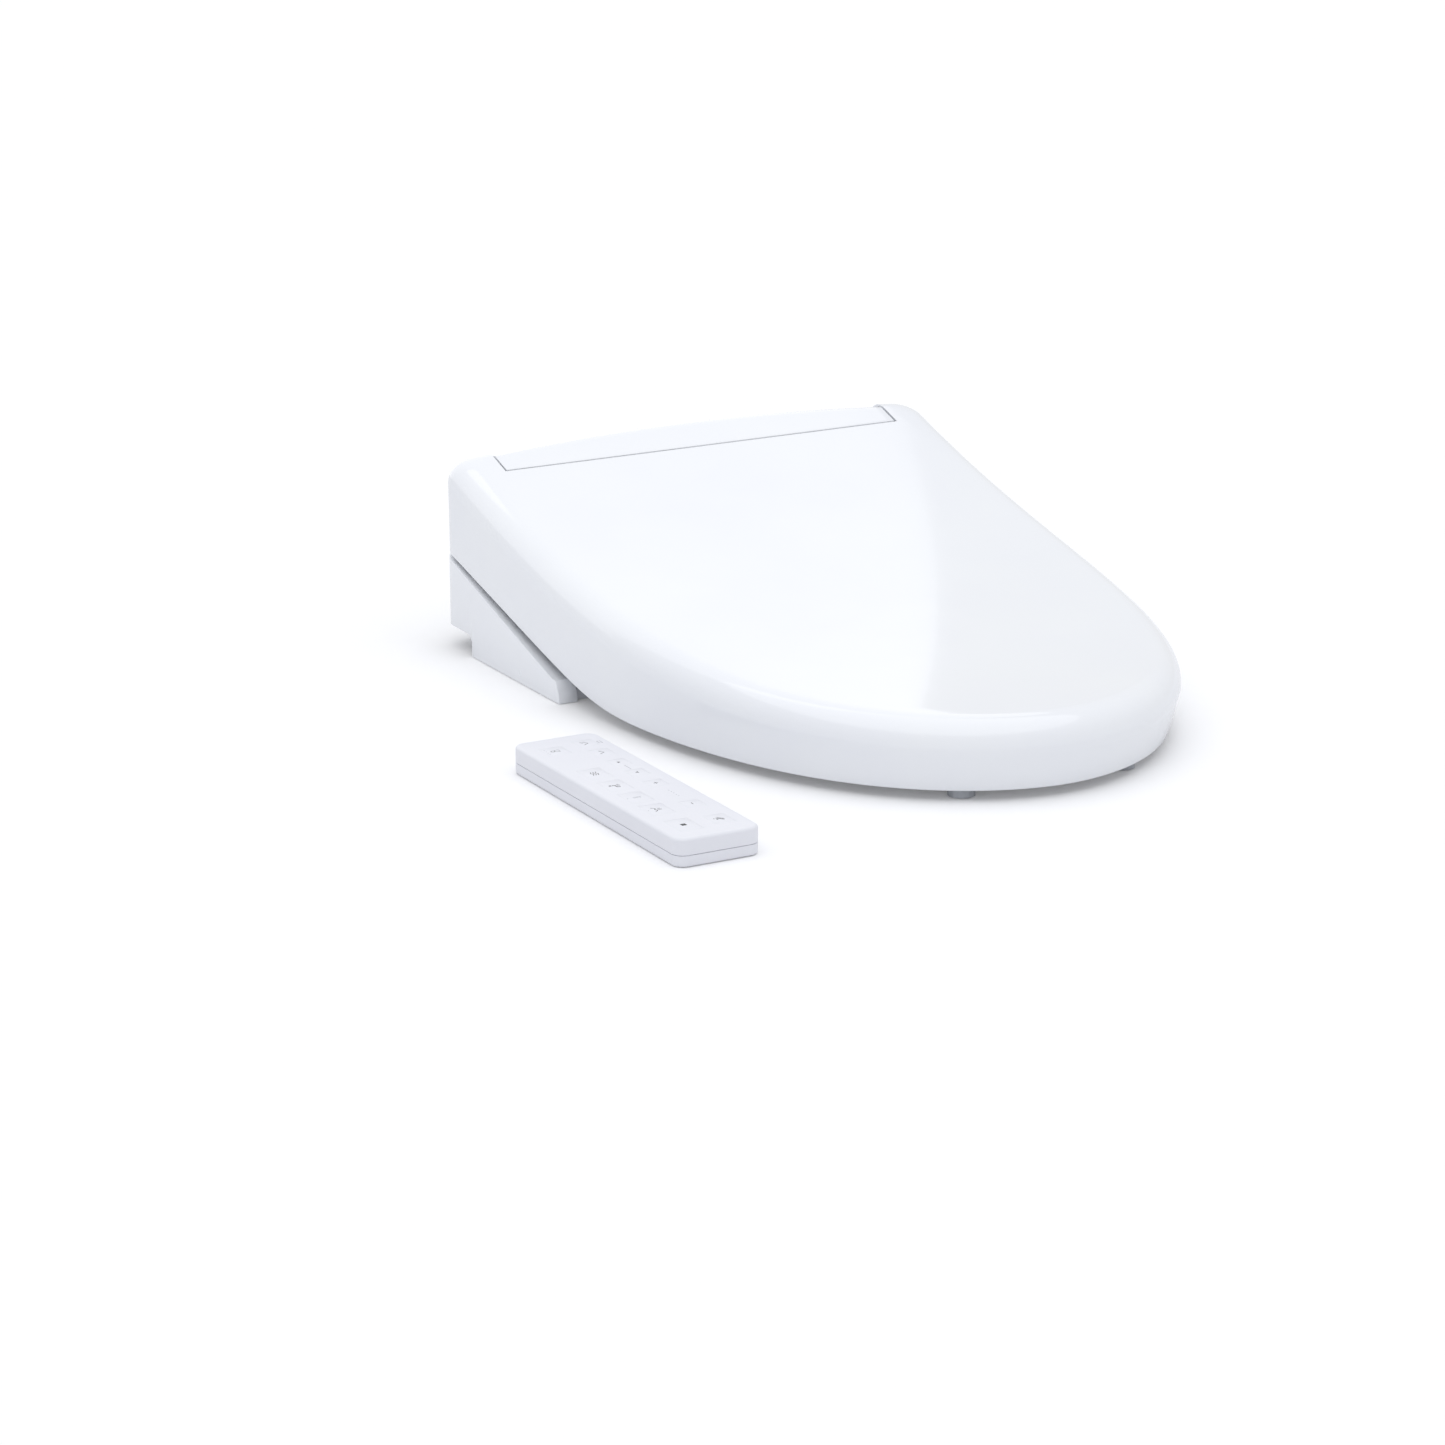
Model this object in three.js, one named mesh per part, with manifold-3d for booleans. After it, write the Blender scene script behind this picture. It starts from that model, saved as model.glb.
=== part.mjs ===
// Electric bidet seat with its remote control.
// Millimetres, +Z up. The origin lies on the deck plane, midway between the two mounting bolts.
// The front of the seat faces -Y, the hinge side faces +Y.
import * as THREE from 'three';
import { mergeVertices } from 'three/addons/utils/BufferGeometryUtils.js';
import Module from 'manifold-3d';

const wasm = await Module();
wasm.setup();

// ---------- driving dimensions ----------
const WIDTH = 383;            // across the lid
const LENGTH = 531;           // rear edge to front tip
const REAR_Y = 51;            // rear edge, behind the mounting bolts
const REAR_HEIGHT = 142.6;    // top surface at the rear edge
const FRONT_HEIGHT = 54.7;    // top surface at the front tip
const SAG = 26.4;             // how far the top surface dips below a straight line
const TAPER = 8;              // how far the skirt leans in at its lower edge
const SKIRT_REAR = 73;        // lower edge of the lid at the rear
const SKIRT_FRONT = 6.7;      // lower edge of the lid along the front
const SKIRT_SLOPE = 0.277;    // fall of the lower edge along the sides
const SKIRT_BLEND = 5;        // softness of the bend between the two
const STRAIGHT_SIDE = 127;    // depth at which the plan starts to round
const REAR_BOW = 13;          // rear edge bows back by this much at the middle
const CORNER_R = 17;          // rear corners in plan
const EDGE_R = 19;            // rounding of the top edge
const LID_WALL = 3.2;
const CHEEK_T = 3.4;          // hinge cheeks of the lid
const CHEEK_R = 7.6;
const SHELL = 2.8;            // casing walls
const GAP = 0.3;              // between touching pieces
const SEAM = 1.5;             // visible gap round the rear panel
const EAR = 35.1;             // width of each lid ear beside the unit
const PANEL_DEPTH = 47.2;     // rear panel, rear edge to front edge
const UNIT_DEPTH = 118;       // electrical unit, rear edge to front wall
const NOSE_DEPTH = 150;       // wand housing, rear edge to its front
const NOSE_HALF = 55;
const ARM_DEPTH = 188;        // lower casing arms, rear edge to their tips
const HINGE_DEPTH = 23;       // hinge axis, in front of the rear edge
const HINGE_DROP = 29.4;      // hinge axis, below the top surface
const PIN_R = 3.5;
const BOSS_R = 6.8;
const RUN = 0.3;              // running clearance round pins and shafts
const COVER_SPREAD = 14.2;    // side cover, outer face to its inner edge
const COVER_TOP = 70.7;       // side cover diagonal, height over the rear edge
const COVER_SLOPE = 0.305;
const COVER_STEP_Z = 15;      // underside of the side cover behind its step
const COVER_STEP = 60;        // depth of the step
const SEAT_INSET = 12.5;        // seat rim, inside the lid outline
const SEAT_GAP = 3.5;         // between the unit's front wall and the seat
const SEAT_REAR = UNIT_DEPTH + SEAT_GAP;      // rear face of the seat
const SEAT_BASE = 8;          // underside of the seat
const SEAT_REAR_BASE = 36.5;  // underside over the wand housing
const SEAT_TRAY = 7;          // height of the seat's bottom shell
const SEAT_REAR_TOP = 66;
const SEAT_FRONT_TOP = 41;
const SEAT_WALL = 2.8;
const RIM_REAR = 44.5;        // seat, rear face to its opening
const RIM_FRONT = 93;         // opening to the front tip of the lid
const RIM_SIDE = 87.5;        // opening to the side of the lid
const HOLE_REAR = SEAT_REAR + RIM_REAR;
const HOLE_LENGTH = LENGTH - RIM_FRONT - HOLE_REAR;
const HOLE_WIDTH = WIDTH - 2 * RIM_SIDE;
const HOLE_CENTRE = HOLE_REAR + HOLE_LENGTH / 2;
const PLATE_HALF = 88;        // base plate
const PLATE_REAR = 24;
const PLATE_DEPTH = 78;
const PLATE_T = 7;
const BOLT_SPACING = 140;
const BOLT_R = 4;
const WAND_R = 6;
const WAND_LENGTH = 120;
const WAND_PITCH = THREE.MathUtils.degToRad(22);   // nose down
const WAND_EXIT_Z = 13;       // wand axis at the front of its housing
const RACK_MODULE = 1;
const PINION_TEETH = 12;
const REMOTE = { length: 222, width: 58.5, height: 18, x: -256, y: -370, corner: 8, wall: 2 };
const KEY_GAP = 0.35;

const HALF = WIDTH / 2;
const UNIT_HALF = HALF - EAR;
const HINGE_Y = REAR_Y - HINGE_DEPTH;
const depth = y => REAR_Y - y;
const at = d => REAR_Y - d;                        // y of a depth in front of the rear edge

// ---------- surfaces ----------
const zTop = y => {
  const t = depth(y) / LENGTH;
  return REAR_HEIGHT + (FRONT_HEIGHT - REAR_HEIGHT) * t - 4 * SAG * t * (1 - t);
};
const HINGE_Z = zTop(HINGE_Y) - HINGE_DROP;
const zSkirt = y => {
  const fall = SKIRT_REAR - SKIRT_FRONT - SKIRT_SLOPE * depth(y);
  return SKIRT_FRONT + SKIRT_BLEND * Math.log(1 + Math.exp(fall / SKIRT_BLEND));
};
const rearEdge = x => REAR_Y - REAR_BOW * (x / (HALF - CORNER_R)) ** 2;

// plan outline, counter-clockwise from the middle of the rear edge
function planOutline(choice = {}) {
  const { rear = REAR_Y, bow = REAR_BOW, corner = CORNER_R, side = 9, front = 20, ease = 1.8 } = choice;
  const xc = HALF - corner;
  const tilt = Math.atan(2 * bow / xc);
  const xs = xc + corner * Math.sin(tilt);
  const yc = rear - bow * (xs / xc) ** 2 - corner * Math.cos(tilt);
  const right = [];
  for (let i = 0; i < 6; i++) {
    const x = xs * i / 6;
    right.push([x, rear - bow * (x / xc) ** 2]);
  }
  for (let i = 0; i <= 5; i++) {
    const a = Math.PI / 2 - tilt - (Math.PI / 2 - tilt) * i / 5;
    right.push([xc + corner * Math.cos(a), yc + corner * Math.sin(a)]);
  }
  const y0 = at(STRAIGHT_SIDE);
  for (let i = 1; i < side; i++) {
    if (yc > y0) right.push([HALF, yc + (y0 - yc) * i / side]);
  }
  for (let i = 0; i <= front; i++) {
    const s = Math.PI / 2 * (i / front) ** ease;
    const y = y0 - (LENGTH - STRAIGHT_SIDE) * Math.sin(s) ** (2 / 3.1);
    if (y < yc - 3) right.push([HALF * Math.cos(s) ** (2 / 1.9), y]);
  }
  right[right.length - 1][0] = 0;
  const left = right.slice(1, -1).reverse().map(([x, y]) => [-x, y]);
  return [...right, ...left];
}

// the same outline drawn in by a distance
function inset(points, d) {
  const ys = points.map(p => p[1]);
  const top = Math.max(...ys);
  const low = Math.min(...ys);
  const mid = (top + low) / 2;
  const kx = (HALF - d) / HALF;
  const ky = ((top - low) / 2 - d) / ((top - low) / 2);
  return points.map(([x, y]) => [x * kx, mid + (y - mid) * ky]);
}

// ---------- solids ----------
function toManifold(geometry) {
  const g = geometry.index ? geometry.clone() : mergeVertices(stripped(geometry));
  const clean = mergeVertices(stripped(g), 1e-4);
  return new wasm.Manifold(new wasm.Mesh({
    numProp: 3,
    vertProperties: new Float32Array(clean.attributes.position.array),
    triVerts: new Uint32Array(clean.index.array),
  }));
}

function stripped(geometry) {
  const g = geometry.clone();
  for (const name of Object.keys(g.attributes)) if (name !== 'position') g.deleteAttribute(name);
  return g;
}

function toGeometry(solid) {
  const mesh = solid.getMesh();
  const g = new THREE.BufferGeometry();
  g.setAttribute('position', new THREE.BufferAttribute(new Float32Array(mesh.vertProperties), 3));
  g.setIndex(new THREE.BufferAttribute(new Uint32Array(mesh.triVerts), 1));
  return g;
}

const box = (x0, x1, y0, y1, z0, z1) => {
  const g = new THREE.BoxGeometry(x1 - x0, y1 - y0, z1 - z0);
  g.translate((x0 + x1) / 2, (y0 + y1) / 2, (z0 + z1) / 2);
  return toManifold(g);
};

// box given by its depths in front of the rear edge
const slab = (x0, x1, d0, d1, z0, z1) => box(x0, x1, at(d1), at(d0), z0, z1);

function cylinder(axis, centre, r, length, sides = 20) {
  const g = new THREE.CylinderGeometry(r, r, length, sides);
  if (axis === 'x') g.rotateZ(Math.PI / 2);
  if (axis === 'z') g.rotateX(Math.PI / 2);
  g.translate(...centre);
  return toManifold(g);
}

// outline in (y, z), run along x
function prismX(points, x0, x1) {
  const shape = new THREE.Shape(points.map(([y, z]) => new THREE.Vector2(y, z)));
  const g = new THREE.ExtrudeGeometry(shape, { depth: x1 - x0, bevelEnabled: false, curveSegments: 6 });
  g.applyMatrix4(new THREE.Matrix4().makeBasis(
    new THREE.Vector3(0, 1, 0), new THREE.Vector3(0, 0, 1), new THREE.Vector3(1, 0, 0)));
  g.translate(x0, 0, 0);
  return toManifold(g);
}

// outline in (x, y), run along z
function prismZ(points, z0, z1) {
  const shape = new THREE.Shape(points.map(([x, y]) => new THREE.Vector2(x, y)));
  const g = new THREE.ExtrudeGeometry(shape, { depth: z1 - z0, bevelEnabled: false, curveSegments: 6 });
  g.translate(0, 0, z0);
  return toManifold(g);
}

function bodyFrom(positions, indices) {
  const g = new THREE.BufferGeometry();
  g.setAttribute('position', new THREE.Float32BufferAttribute(positions.flat(), 3));
  g.setIndex(indices);
  const solid = toManifold(g);
  if (solid.volume() >= 0) return solid;
  for (let i = 0; i < indices.length; i += 3) [indices[i], indices[i + 1]] = [indices[i + 1], indices[i]];
  g.setIndex(indices);
  return toManifold(g);
}

// rings of equal length, the first and last closed by a fan about their middle
function ringBody(rings) {
  const n = rings[0].length;
  const positions = rings.flat();
  const indices = [];
  for (let k = 0; k + 1 < rings.length; k++) {
    for (let i = 0; i < n; i++) {
      const [a, b] = [k * n + i, k * n + (i + 1) % n];
      indices.push(a, b, b + n, a, b + n, a + n);
    }
  }
  const middle = ring => [0, 1, 2].map(c => ring.reduce((s, p) => s + p[c], 0) / n);
  const first = positions.push(middle(rings[0])) - 1;
  const last = positions.push(middle(rings[rings.length - 1])) - 1;
  const end = (rings.length - 1) * n;
  for (let i = 0; i < n; i++) {
    const j = (i + 1) % n;
    indices.push(first, j, i, last, end + i, end + j);
  }
  return bodyFrom(positions, indices);
}

// sections of equal length set round a closed path
function loopBody(sections) {
  const m = sections[0].length;
  const n = sections.length;
  const indices = [];
  for (let i = 0; i < n; i++) {
    for (let j = 0; j < m; j++) {
      const [a, b] = [i * m + j, i * m + (j + 1) % m];
      const [c, d] = [((i + 1) % n) * m + j, ((i + 1) % n) * m + (j + 1) % m];
      indices.push(a, b, d, a, d, c);
    }
  }
  return bodyFrom(sections.flat(), indices);
}

// sections of equal length in planes of constant x, capped at both ends
function loft(stations, section) {
  const sections = stations.map(x => section(x).map(([y, z]) => [x, y, z]));
  const clockwise = THREE.ShapeUtils.isClockWise(sections[0].map(p => new THREE.Vector2(p[1], p[2])));
  if (clockwise) for (const points of sections) points.reverse();
  const m = sections[0].length;
  const indices = [];
  for (let i = 0; i + 1 < sections.length; i++) {
    for (let j = 0; j < m; j++) {
      const [a, b] = [i * m + j, i * m + (j + 1) % m];
      indices.push(a, b, b + m, a, b + m, a + m);
    }
  }
  for (const [i, flip] of [[0, false], [sections.length - 1, true]]) {
    const flat = sections[i].map(p => new THREE.Vector2(p[1], p[2]));
    for (const [a, b, c] of THREE.ShapeUtils.triangulateShape(flat, [])) {
      const [p, q, r] = [a, b, c].map(v => v + i * m);
      if (flip) indices.push(p, q, r);
      else indices.push(p, r, q);
    }
  }
  return bodyFrom(sections.flat(), indices);
}

const steps = (from, to, count) =>
  Array.from({ length: count + 1 }, (_, i) => from + (to - from) * i / count);
const union = (...solids) => solids.reduce((a, b) => a.add(b));
const cut = (solid, ...tools) => tools.reduce((a, b) => a.subtract(b), solid);
const mirrored = points => points.map(([x, y]) => [-x, y]).reverse();

// ---------- materials ----------
const plastic = (color, roughness) => new THREE.MeshStandardMaterial({ color, roughness, metalness: 0 });
const steel = (color, roughness = 0.3) => new THREE.MeshStandardMaterial({ color, roughness, metalness: 1 });
const LOOK = {
  gloss: () => plastic(0xfbfcff, 0.12),
  satin: () => plastic(0xe6e7ee, 0.4),
  seat: () => plastic(0xf8f9fb, 0.22),
  inner: () => plastic(0xd2d4d8, 0.6),
  dark: () => plastic(0x2c2e33, 0.5),
  rubber: () => plastic(0xb9bcc2, 0.85),
  board: () => plastic(0x1f6b45, 0.5),
  foil: () => steel(0xd8d8d8, 0.4),
  steel: () => steel(0xc9cbce),
  brass: () => steel(0xc9a65a, 0.35),
};

const model = new THREE.Group();
function place(name, solid, material, group = model) {
  const mesh = new THREE.Mesh(toGeometry(solid), material);
  mesh.name = name;
  group.add(mesh);
}

// ---------- lid ----------
function lidRings(wall) {
  const plan = planOutline();
  const r = EDGE_R - wall;
  const taper = y => TAPER * Math.max(0, Math.min(1, depth(y) / LENGTH));
  const rings = [0.2, 0.45, 0.7, 0.88].map(k =>
    inset(plan, (1 - k) * HALF).map(([x, y]) => [x, y, zTop(y) - wall]));
  for (const a of steps(90, 0, 4)) {
    const back = r - r * Math.cos(THREE.MathUtils.degToRad(a));
    const drop = r - r * Math.sin(THREE.MathUtils.degToRad(a));
    rings.push(inset(plan, wall + back).map(([x, y]) => [x, y, zTop(y) - wall - drop]));
  }
  rings.push(inset(plan, wall).map(([x, y], i) => {
    const low = inset(plan, wall + taper(y))[i];
    return [low[0], low[1], zSkirt(y)];
  }));
  return rings;
}

function makeLid() {
  const shell = ringBody([...lidRings(0), ...lidRings(LID_WALL).reverse()]);
  const lip = PANEL_DEPTH + SEAM;
  const lipZ = zTop(at(lip));
  const opening = prismX([
    [at(-20), -5], [at(-20), 200], [at(lip), 200], [at(lip), lipZ],
    [at(lip + 3.4), lipZ - LID_WALL - 1.4], [at(lip + 3.4), -5],
  ], -UNIT_HALF - SEAM, UNIT_HALF + SEAM);
  let lid = cut(shell, opening);
  for (const side of [-1, 1]) {
    const [a, b] = [UNIT_HALF - 5, HALF - 8.5].map(v => v * side).sort((p, q) => p - q);
    lid = cut(lid, slab(a, b, -5, CORNER_R + 3, -5, HINGE_Z + 19));
    const cheek = steps(-180, 0, 10).map(a => {
      const t = THREE.MathUtils.degToRad(a);
      return [HINGE_Y + CHEEK_R * Math.cos(t), HINGE_Z + CHEEK_R * Math.sin(t)];
    });
    const round = depth(rearEdge(UNIT_HALF)) + EDGE_R;
    for (const d of [HINGE_DEPTH - CHEEK_R, HINGE_DEPTH, HINGE_DEPTH + 13, lip + 16]) {
      const fall = EDGE_R - Math.sqrt(EDGE_R ** 2 - Math.max(0, round - d) ** 2);
      cheek.push([at(d), zTop(at(d)) - fall - LID_WALL * 0.6]);
    }
    const [x0, x1] = [UNIT_HALF + SEAM, UNIT_HALF + SEAM + CHEEK_T].map(v => v * side).sort((p, q) => p - q);
    const hole = cylinder('x', [side * (UNIT_HALF + 3), HINGE_Y, HINGE_Z], PIN_R + RUN, 12);
    lid = cut(lid.add(prismX(cheek, x0, x1)), hole);
  }
  return lid;
}
place('lid_shell', makeLid(), LOOK.gloss());

// ---------- rear top panel ----------
const PANEL_T = 3;
const PANEL_DROP = 10;        // how far its rear face runs below the rounding
function panelSection(x, t = 0, clearance = 0) {
  const yEdge = rearEdge(x) - t - clearance;
  const r = EDGE_R - t - clearance;
  const yc = yEdge - r;
  const zc = zTop(rearEdge(x) - EDGE_R) - EDGE_R;
  const points = [];
  for (const d of [PANEL_DEPTH, PANEL_DEPTH * 0.75]) points.push([at(d), zTop(at(d)) - t - clearance]);
  for (const a of steps(90, 0, 6)) {
    const s = THREE.MathUtils.degToRad(a);
    points.push([yc + r * Math.cos(s), zc + r * Math.sin(s)]);
  }
  points.push([yEdge, zc - PANEL_DROP]);
  return points;
}
const panelStations = steps(-UNIT_HALF, UNIT_HALF, 14);
const rearPanel = loft(panelStations, x => [...panelSection(x), ...panelSection(x, PANEL_T).reverse()]);
place('rear_top_panel', rearPanel, LOOK.gloss());

// ---------- upper casing ----------
const CASE_JOIN = 30;         // parting line between the casings
const LID_ROOM = 5;           // unit top, below the lid's top surface
function caseSection(x, wall) {
  const panel = panelSection(x, PANEL_T, GAP + wall);
  const zc = panel[panel.length - 1][1];
  const front = UNIT_DEPTH - wall;
  const rearY = rearEdge(x) - wall - GAP;
  return [
    [at(front), wall ? CASE_JOIN - 1 : CASE_JOIN + GAP],
    [at(front), zTop(at(front)) - LID_ROOM - wall - 8],
    [at(front - 8), zTop(at(front - 8)) - LID_ROOM - wall],
    [at(PANEL_DEPTH + 12), zTop(at(PANEL_DEPTH + 12)) - LID_ROOM - wall],
    [at(PANEL_DEPTH + 2 + wall), zTop(at(PANEL_DEPTH + 2)) - LID_ROOM - wall],
    ...panel.slice(0, -1),
    [panel[panel.length - 1][0], zc - GAP * 2 - 0.5],
    [rearY, zc - GAP * 2 - 0.5],
    [rearY, wall ? CASE_JOIN - 1 : CASE_JOIN + GAP],
  ];
}
const passage = new THREE.CylinderGeometry(WAND_R + 2.5, WAND_R + 2.5, 100, 20);
passage.rotateX(WAND_PITCH);
passage.translate(0, at(NOSE_DEPTH), WAND_EXIT_Z);
const wandPassage = toManifold(passage);
function makeUpperCasing() {
  const outer = loft(panelStations, x => caseSection(x, 0));
  const inner = loft(steps(-UNIT_HALF + SHELL, UNIT_HALF - SHELL, 12), x => caseSection(x, SHELL));
  const pinHole = cylinder('x', [0, HINGE_Y, HINGE_Z], PIN_R + RUN, UNIT_HALF * 2 + 10);
  return cut(outer, inner, pinHole, wandPassage);
}
place('upper_casing', makeUpperCasing(), LOOK.gloss());

// ---------- lower casing ----------
const BAY_IN = UNIT_HALF - SHELL;
const BAY_OUT = HALF - COVER_SPREAD - GAP;
const FENCE_RISE = 11;        // rear wall behind each hinge, above the hinge axis
const BAY_ROOM = 6;           // bay top, below the diagonal of the side cover
const coverTop = d => COVER_TOP - COVER_SLOPE * d;
function bayProfile(wall) {
  const [rear, tip] = [16 + wall, ARM_DEPTH - wall];
  const top = d => coverTop(d) - BAY_ROOM - wall;
  if (wall) return [[at(tip), -5], [at(tip), top(tip) + wall], [at(rear), top(rear)], [at(rear), -5]];
  return [[at(tip), 0], [at(tip), top(tip)], [at(rear), top(rear)], [at(rear), COVER_STEP_Z],
    [at(COVER_STEP), COVER_STEP_Z], [at(COVER_STEP), 0]];
}
// each bay runs forward into an arm, with a round inner corner against the unit's front wall
function bayPlan() {
  const [reach, sweep] = [62, ARM_DEPTH - UNIT_DEPTH - 8];
  const points = [[BAY_OUT, at(ARM_DEPTH + 5)], [BAY_OUT, at(-10)], [BAY_IN, at(-10)]];
  points.push([BAY_IN, at(UNIT_DEPTH - 2)], [BAY_IN - reach, at(UNIT_DEPTH - 2)]);
  for (const a of steps(90, 0, 7)) {
    const t = THREE.MathUtils.degToRad(a);
    points.push([BAY_IN - reach + reach * Math.cos(t), at(UNIT_DEPTH + sweep - sweep * Math.sin(t))]);
  }
  points.push([BAY_IN, at(ARM_DEPTH + 5)]);
  return points;
}
const RECESS_Z = PLATE_T + 5.7;     // clears the bolt heads
const NOSE_TOP = CASE_JOIN + 3.7;
const DRYER = { x: -37, d: 80, r: 20, width: 26, z0: RECESS_Z + SHELL + GAP, tall: 12, flap: 2 };
const INLET = { x: -118, z: 6.4, r: 6 };
const CORD = { x: 118, z: 6.8, r: 6 };
function makeLowerCasing() {
  const stations = steps(-UNIT_HALF, UNIT_HALF, 12);
  const tub = loft(stations, x => [
    [at(UNIT_DEPTH), 0], [at(UNIT_DEPTH), CASE_JOIN],
    [rearEdge(x) - GAP, CASE_JOIN], [rearEdge(x) - GAP, 0]]);
  const tubRoom = loft(steps(-BAY_IN, BAY_IN, 10), x => [
    [at(UNIT_DEPTH - SHELL), RECESS_Z + SHELL], [at(UNIT_DEPTH - SHELL), CASE_JOIN + 5],
    [rearEdge(x) - GAP - SHELL, CASE_JOIN + 5], [rearEdge(x) - GAP - SHELL, RECESS_Z + SHELL]]);
  const nose = slab(-NOSE_HALF, NOSE_HALF, UNIT_DEPTH - SHELL, NOSE_DEPTH, 0, NOSE_TOP);
  const noseRoom = slab(-NOSE_HALF + SHELL, NOSE_HALF - SHELL, UNIT_DEPTH - SHELL - 1, NOSE_DEPTH - SHELL,
    -5, NOSE_TOP - SHELL);
  const bayRoom = prismX(bayProfile(SHELL), BAY_IN + SHELL * 2, BAY_OUT - SHELL);
  let body = union(tub, nose);
  for (const side of [-1, 1]) {
    const turn = new THREE.Matrix4().makeScale(side, 1, 1).elements;
    const across = (from, to, count) => steps(from, to, count).map(x => x * side).sort((a, b) => a - b);
    const plan = side > 0 ? bayPlan() : mirrored(bayPlan());
    const bay = prismX(bayProfile(0), -HALF, HALF).intersect(prismZ(plan, -1, 120));
    const fence = loft(across(UNIT_HALF + 6, HALF - 10.5, 4), x => [
      [rearEdge(x) - SHELL - GAP, COVER_TOP - 2], [rearEdge(x) - GAP, COVER_TOP - 2],
      [rearEdge(x) - GAP, HINGE_Z + FENCE_RISE], [rearEdge(x) - SHELL - GAP, HINGE_Z + FENCE_RISE]]);
    const foot = loft(across(BAY_IN, BAY_OUT, 3), x => [
      [at(17), COVER_STEP_Z], [rearEdge(x) - GAP, COVER_STEP_Z],
      [rearEdge(x) - GAP, COVER_TOP], [at(17), COVER_TOP]]);
    body = union(body, bay.subtract(bayRoom.transform(turn)), fence, foot);
  }
  const recess = slab(-PLATE_HALF - 3, PLATE_HALF + 3, -30, PLATE_DEPTH + 3, -5, RECESS_Z);
  const bellies = [-1, 1].map(side => {
    const [x0, x1] = [PLATE_HALF + 6, BAY_IN].map(x => x * side).sort((a, b) => a - b);
    return slab(x0, x1, 24, UNIT_DEPTH - SHELL, -5, RECESS_Z);
  });
  const ports = [INLET, CORD].map(p => cylinder('y', [p.x, at(10), p.z], p.r + GAP, 40, 20));
  const outlet = slab(DRYER.x - DRYER.width / 2, DRYER.x + DRYER.width / 2, NOSE_DEPTH - 5, NOSE_DEPTH + 5,
    DRYER.z0, DRYER.z0 + DRYER.tall);
  const unitRoom = slab(-UNIT_HALF - GAP, UNIT_HALF + GAP, -5, UNIT_DEPTH + GAP, CASE_JOIN, 140);
  return cut(body, unitRoom, tubRoom, noseRoom, recess, ...bellies, ...ports, outlet, wandPassage);
}
place('lower_casing', makeLowerCasing(), LOOK.gloss());

// ---------- side covers ----------
function coverProfile(d) {
  const r = 8;
  const front = ARM_DEPTH + 4.3;
  const points = [[at(COVER_STEP + d), d ? -5 : 0], [at(front - d), d ? -5 : 0]];
  const knee = front - 3;
  points.push([at(front - 0.6 - d), 6 - d * 0.4], [at(knee - 2 - d), coverTop(knee - 2) - d + 1.5]);
  points.push([at(knee - r - d), coverTop(knee - r) - d], [at(22), coverTop(22) - d]);
  const rear = d ? -8 : 12;
  points.push([at(rear), coverTop(12) - d - 1], [at(rear), d ? -5 : COVER_STEP_Z + 6]);
  if (!d) {
    points.push([at(18), COVER_STEP_Z], [at(COVER_STEP - 4), COVER_STEP_Z]);
    points.push([at(COVER_STEP), COVER_STEP_Z - 4]);
  }
  return points;
}
const planSolid = prismZ(planOutline({ side: 3 }), -10, 160);
const COVER_T = 3;
const BUTTON = { d0: 150, d1: 166, z0: 6.5, z1: 12.5, deep: 6 };
const thinPlan = prismZ(inset(planOutline({ side: 3 }), COVER_T), -10, 160);
for (const [name, side] of [['side_cover_left', -1], ['side_cover_right', 1]]) {
  const across = (from, to) => [from * side, to * side].sort((a, b) => a - b);
  const outer = prismX(coverProfile(0), ...across(HALF - COVER_SPREAD, HALF + 5));
  const pocket = prismX(coverProfile(COVER_T), ...across(0, HALF + 5)).intersect(thinPlan);
  let cover = outer.intersect(planSolid).subtract(pocket);
  if (side > 0) {
    cover = cut(cover, slab(HALF - 20, HALF + 5, BUTTON.d0 - GAP, BUTTON.d1 + GAP,
      BUTTON.z0 - GAP, BUTTON.z1 + GAP));
  }
  place(name, cover, LOOK.gloss());
}

// release button, in a window of the right side cover
const button = slab(HALF - BUTTON.deep, HALF - 0.2, BUTTON.d0, BUTTON.d1, BUTTON.z0, BUTTON.z1);
place('release_button', button, LOOK.satin());

// ---------- base plate and bolts ----------
const plate = slab(-PLATE_HALF, PLATE_HALF, PLATE_REAR, PLATE_DEPTH, 0, PLATE_T);
const slot = x => union(
  box(x - BOLT_R - 0.6, x + BOLT_R + 0.6, -9, 9, -5, PLATE_T + 5),
  cylinder('z', [x, -9, 3], BOLT_R + 0.6, 20), cylinder('z', [x, 9, 3], BOLT_R + 0.6, 20));
place('base_plate', cut(plate, slot(-BOLT_SPACING / 2), slot(BOLT_SPACING / 2)), LOOK.inner());
for (const [name, side] of [['mounting_bolt_left', -1], ['mounting_bolt_right', 1]]) {
  const x = side * BOLT_SPACING / 2;
  const bolt = union(
    cylinder('z', [x, 0, (PLATE_T + GAP) / 2], BOLT_R, PLATE_T + GAP),
    cylinder('z', [x, 0, PLATE_T + GAP + 1], 9.5, 2, 24),
    cylinder('z', [x, 0, PLATE_T + GAP + 3.5], 6.5, 3.2, 6));
  place(name, bolt, LOOK.steel());
}

// ---------- hinge pins and soft-close dampers ----------
const ARM_IN = UNIT_HALF + SEAM + CHEEK_T + 1;    // inner face of each seat arm
const ARM_OUT = ARM_IN + 10;
const PIN_IN = 138;
for (const [name, side] of [['hinge_pin_left', -1], ['hinge_pin_right', 1]]) {
  const outEnd = ARM_OUT + 1.5;
  const pin = cylinder('x', [side * (PIN_IN + outEnd) / 2, HINGE_Y, HINGE_Z], PIN_R, outEnd - PIN_IN, 24);
  place(name, pin, LOOK.steel());
}
for (const [name, side] of [['lid_damper', -1], ['seat_damper', 1]]) {
  const damper = cylinder('x', [side * (PIN_IN - GAP - 24), HINGE_Y, HINGE_Z], 8.5, 48, 20);
  place(name, damper, LOOK.dark());
}

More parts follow.
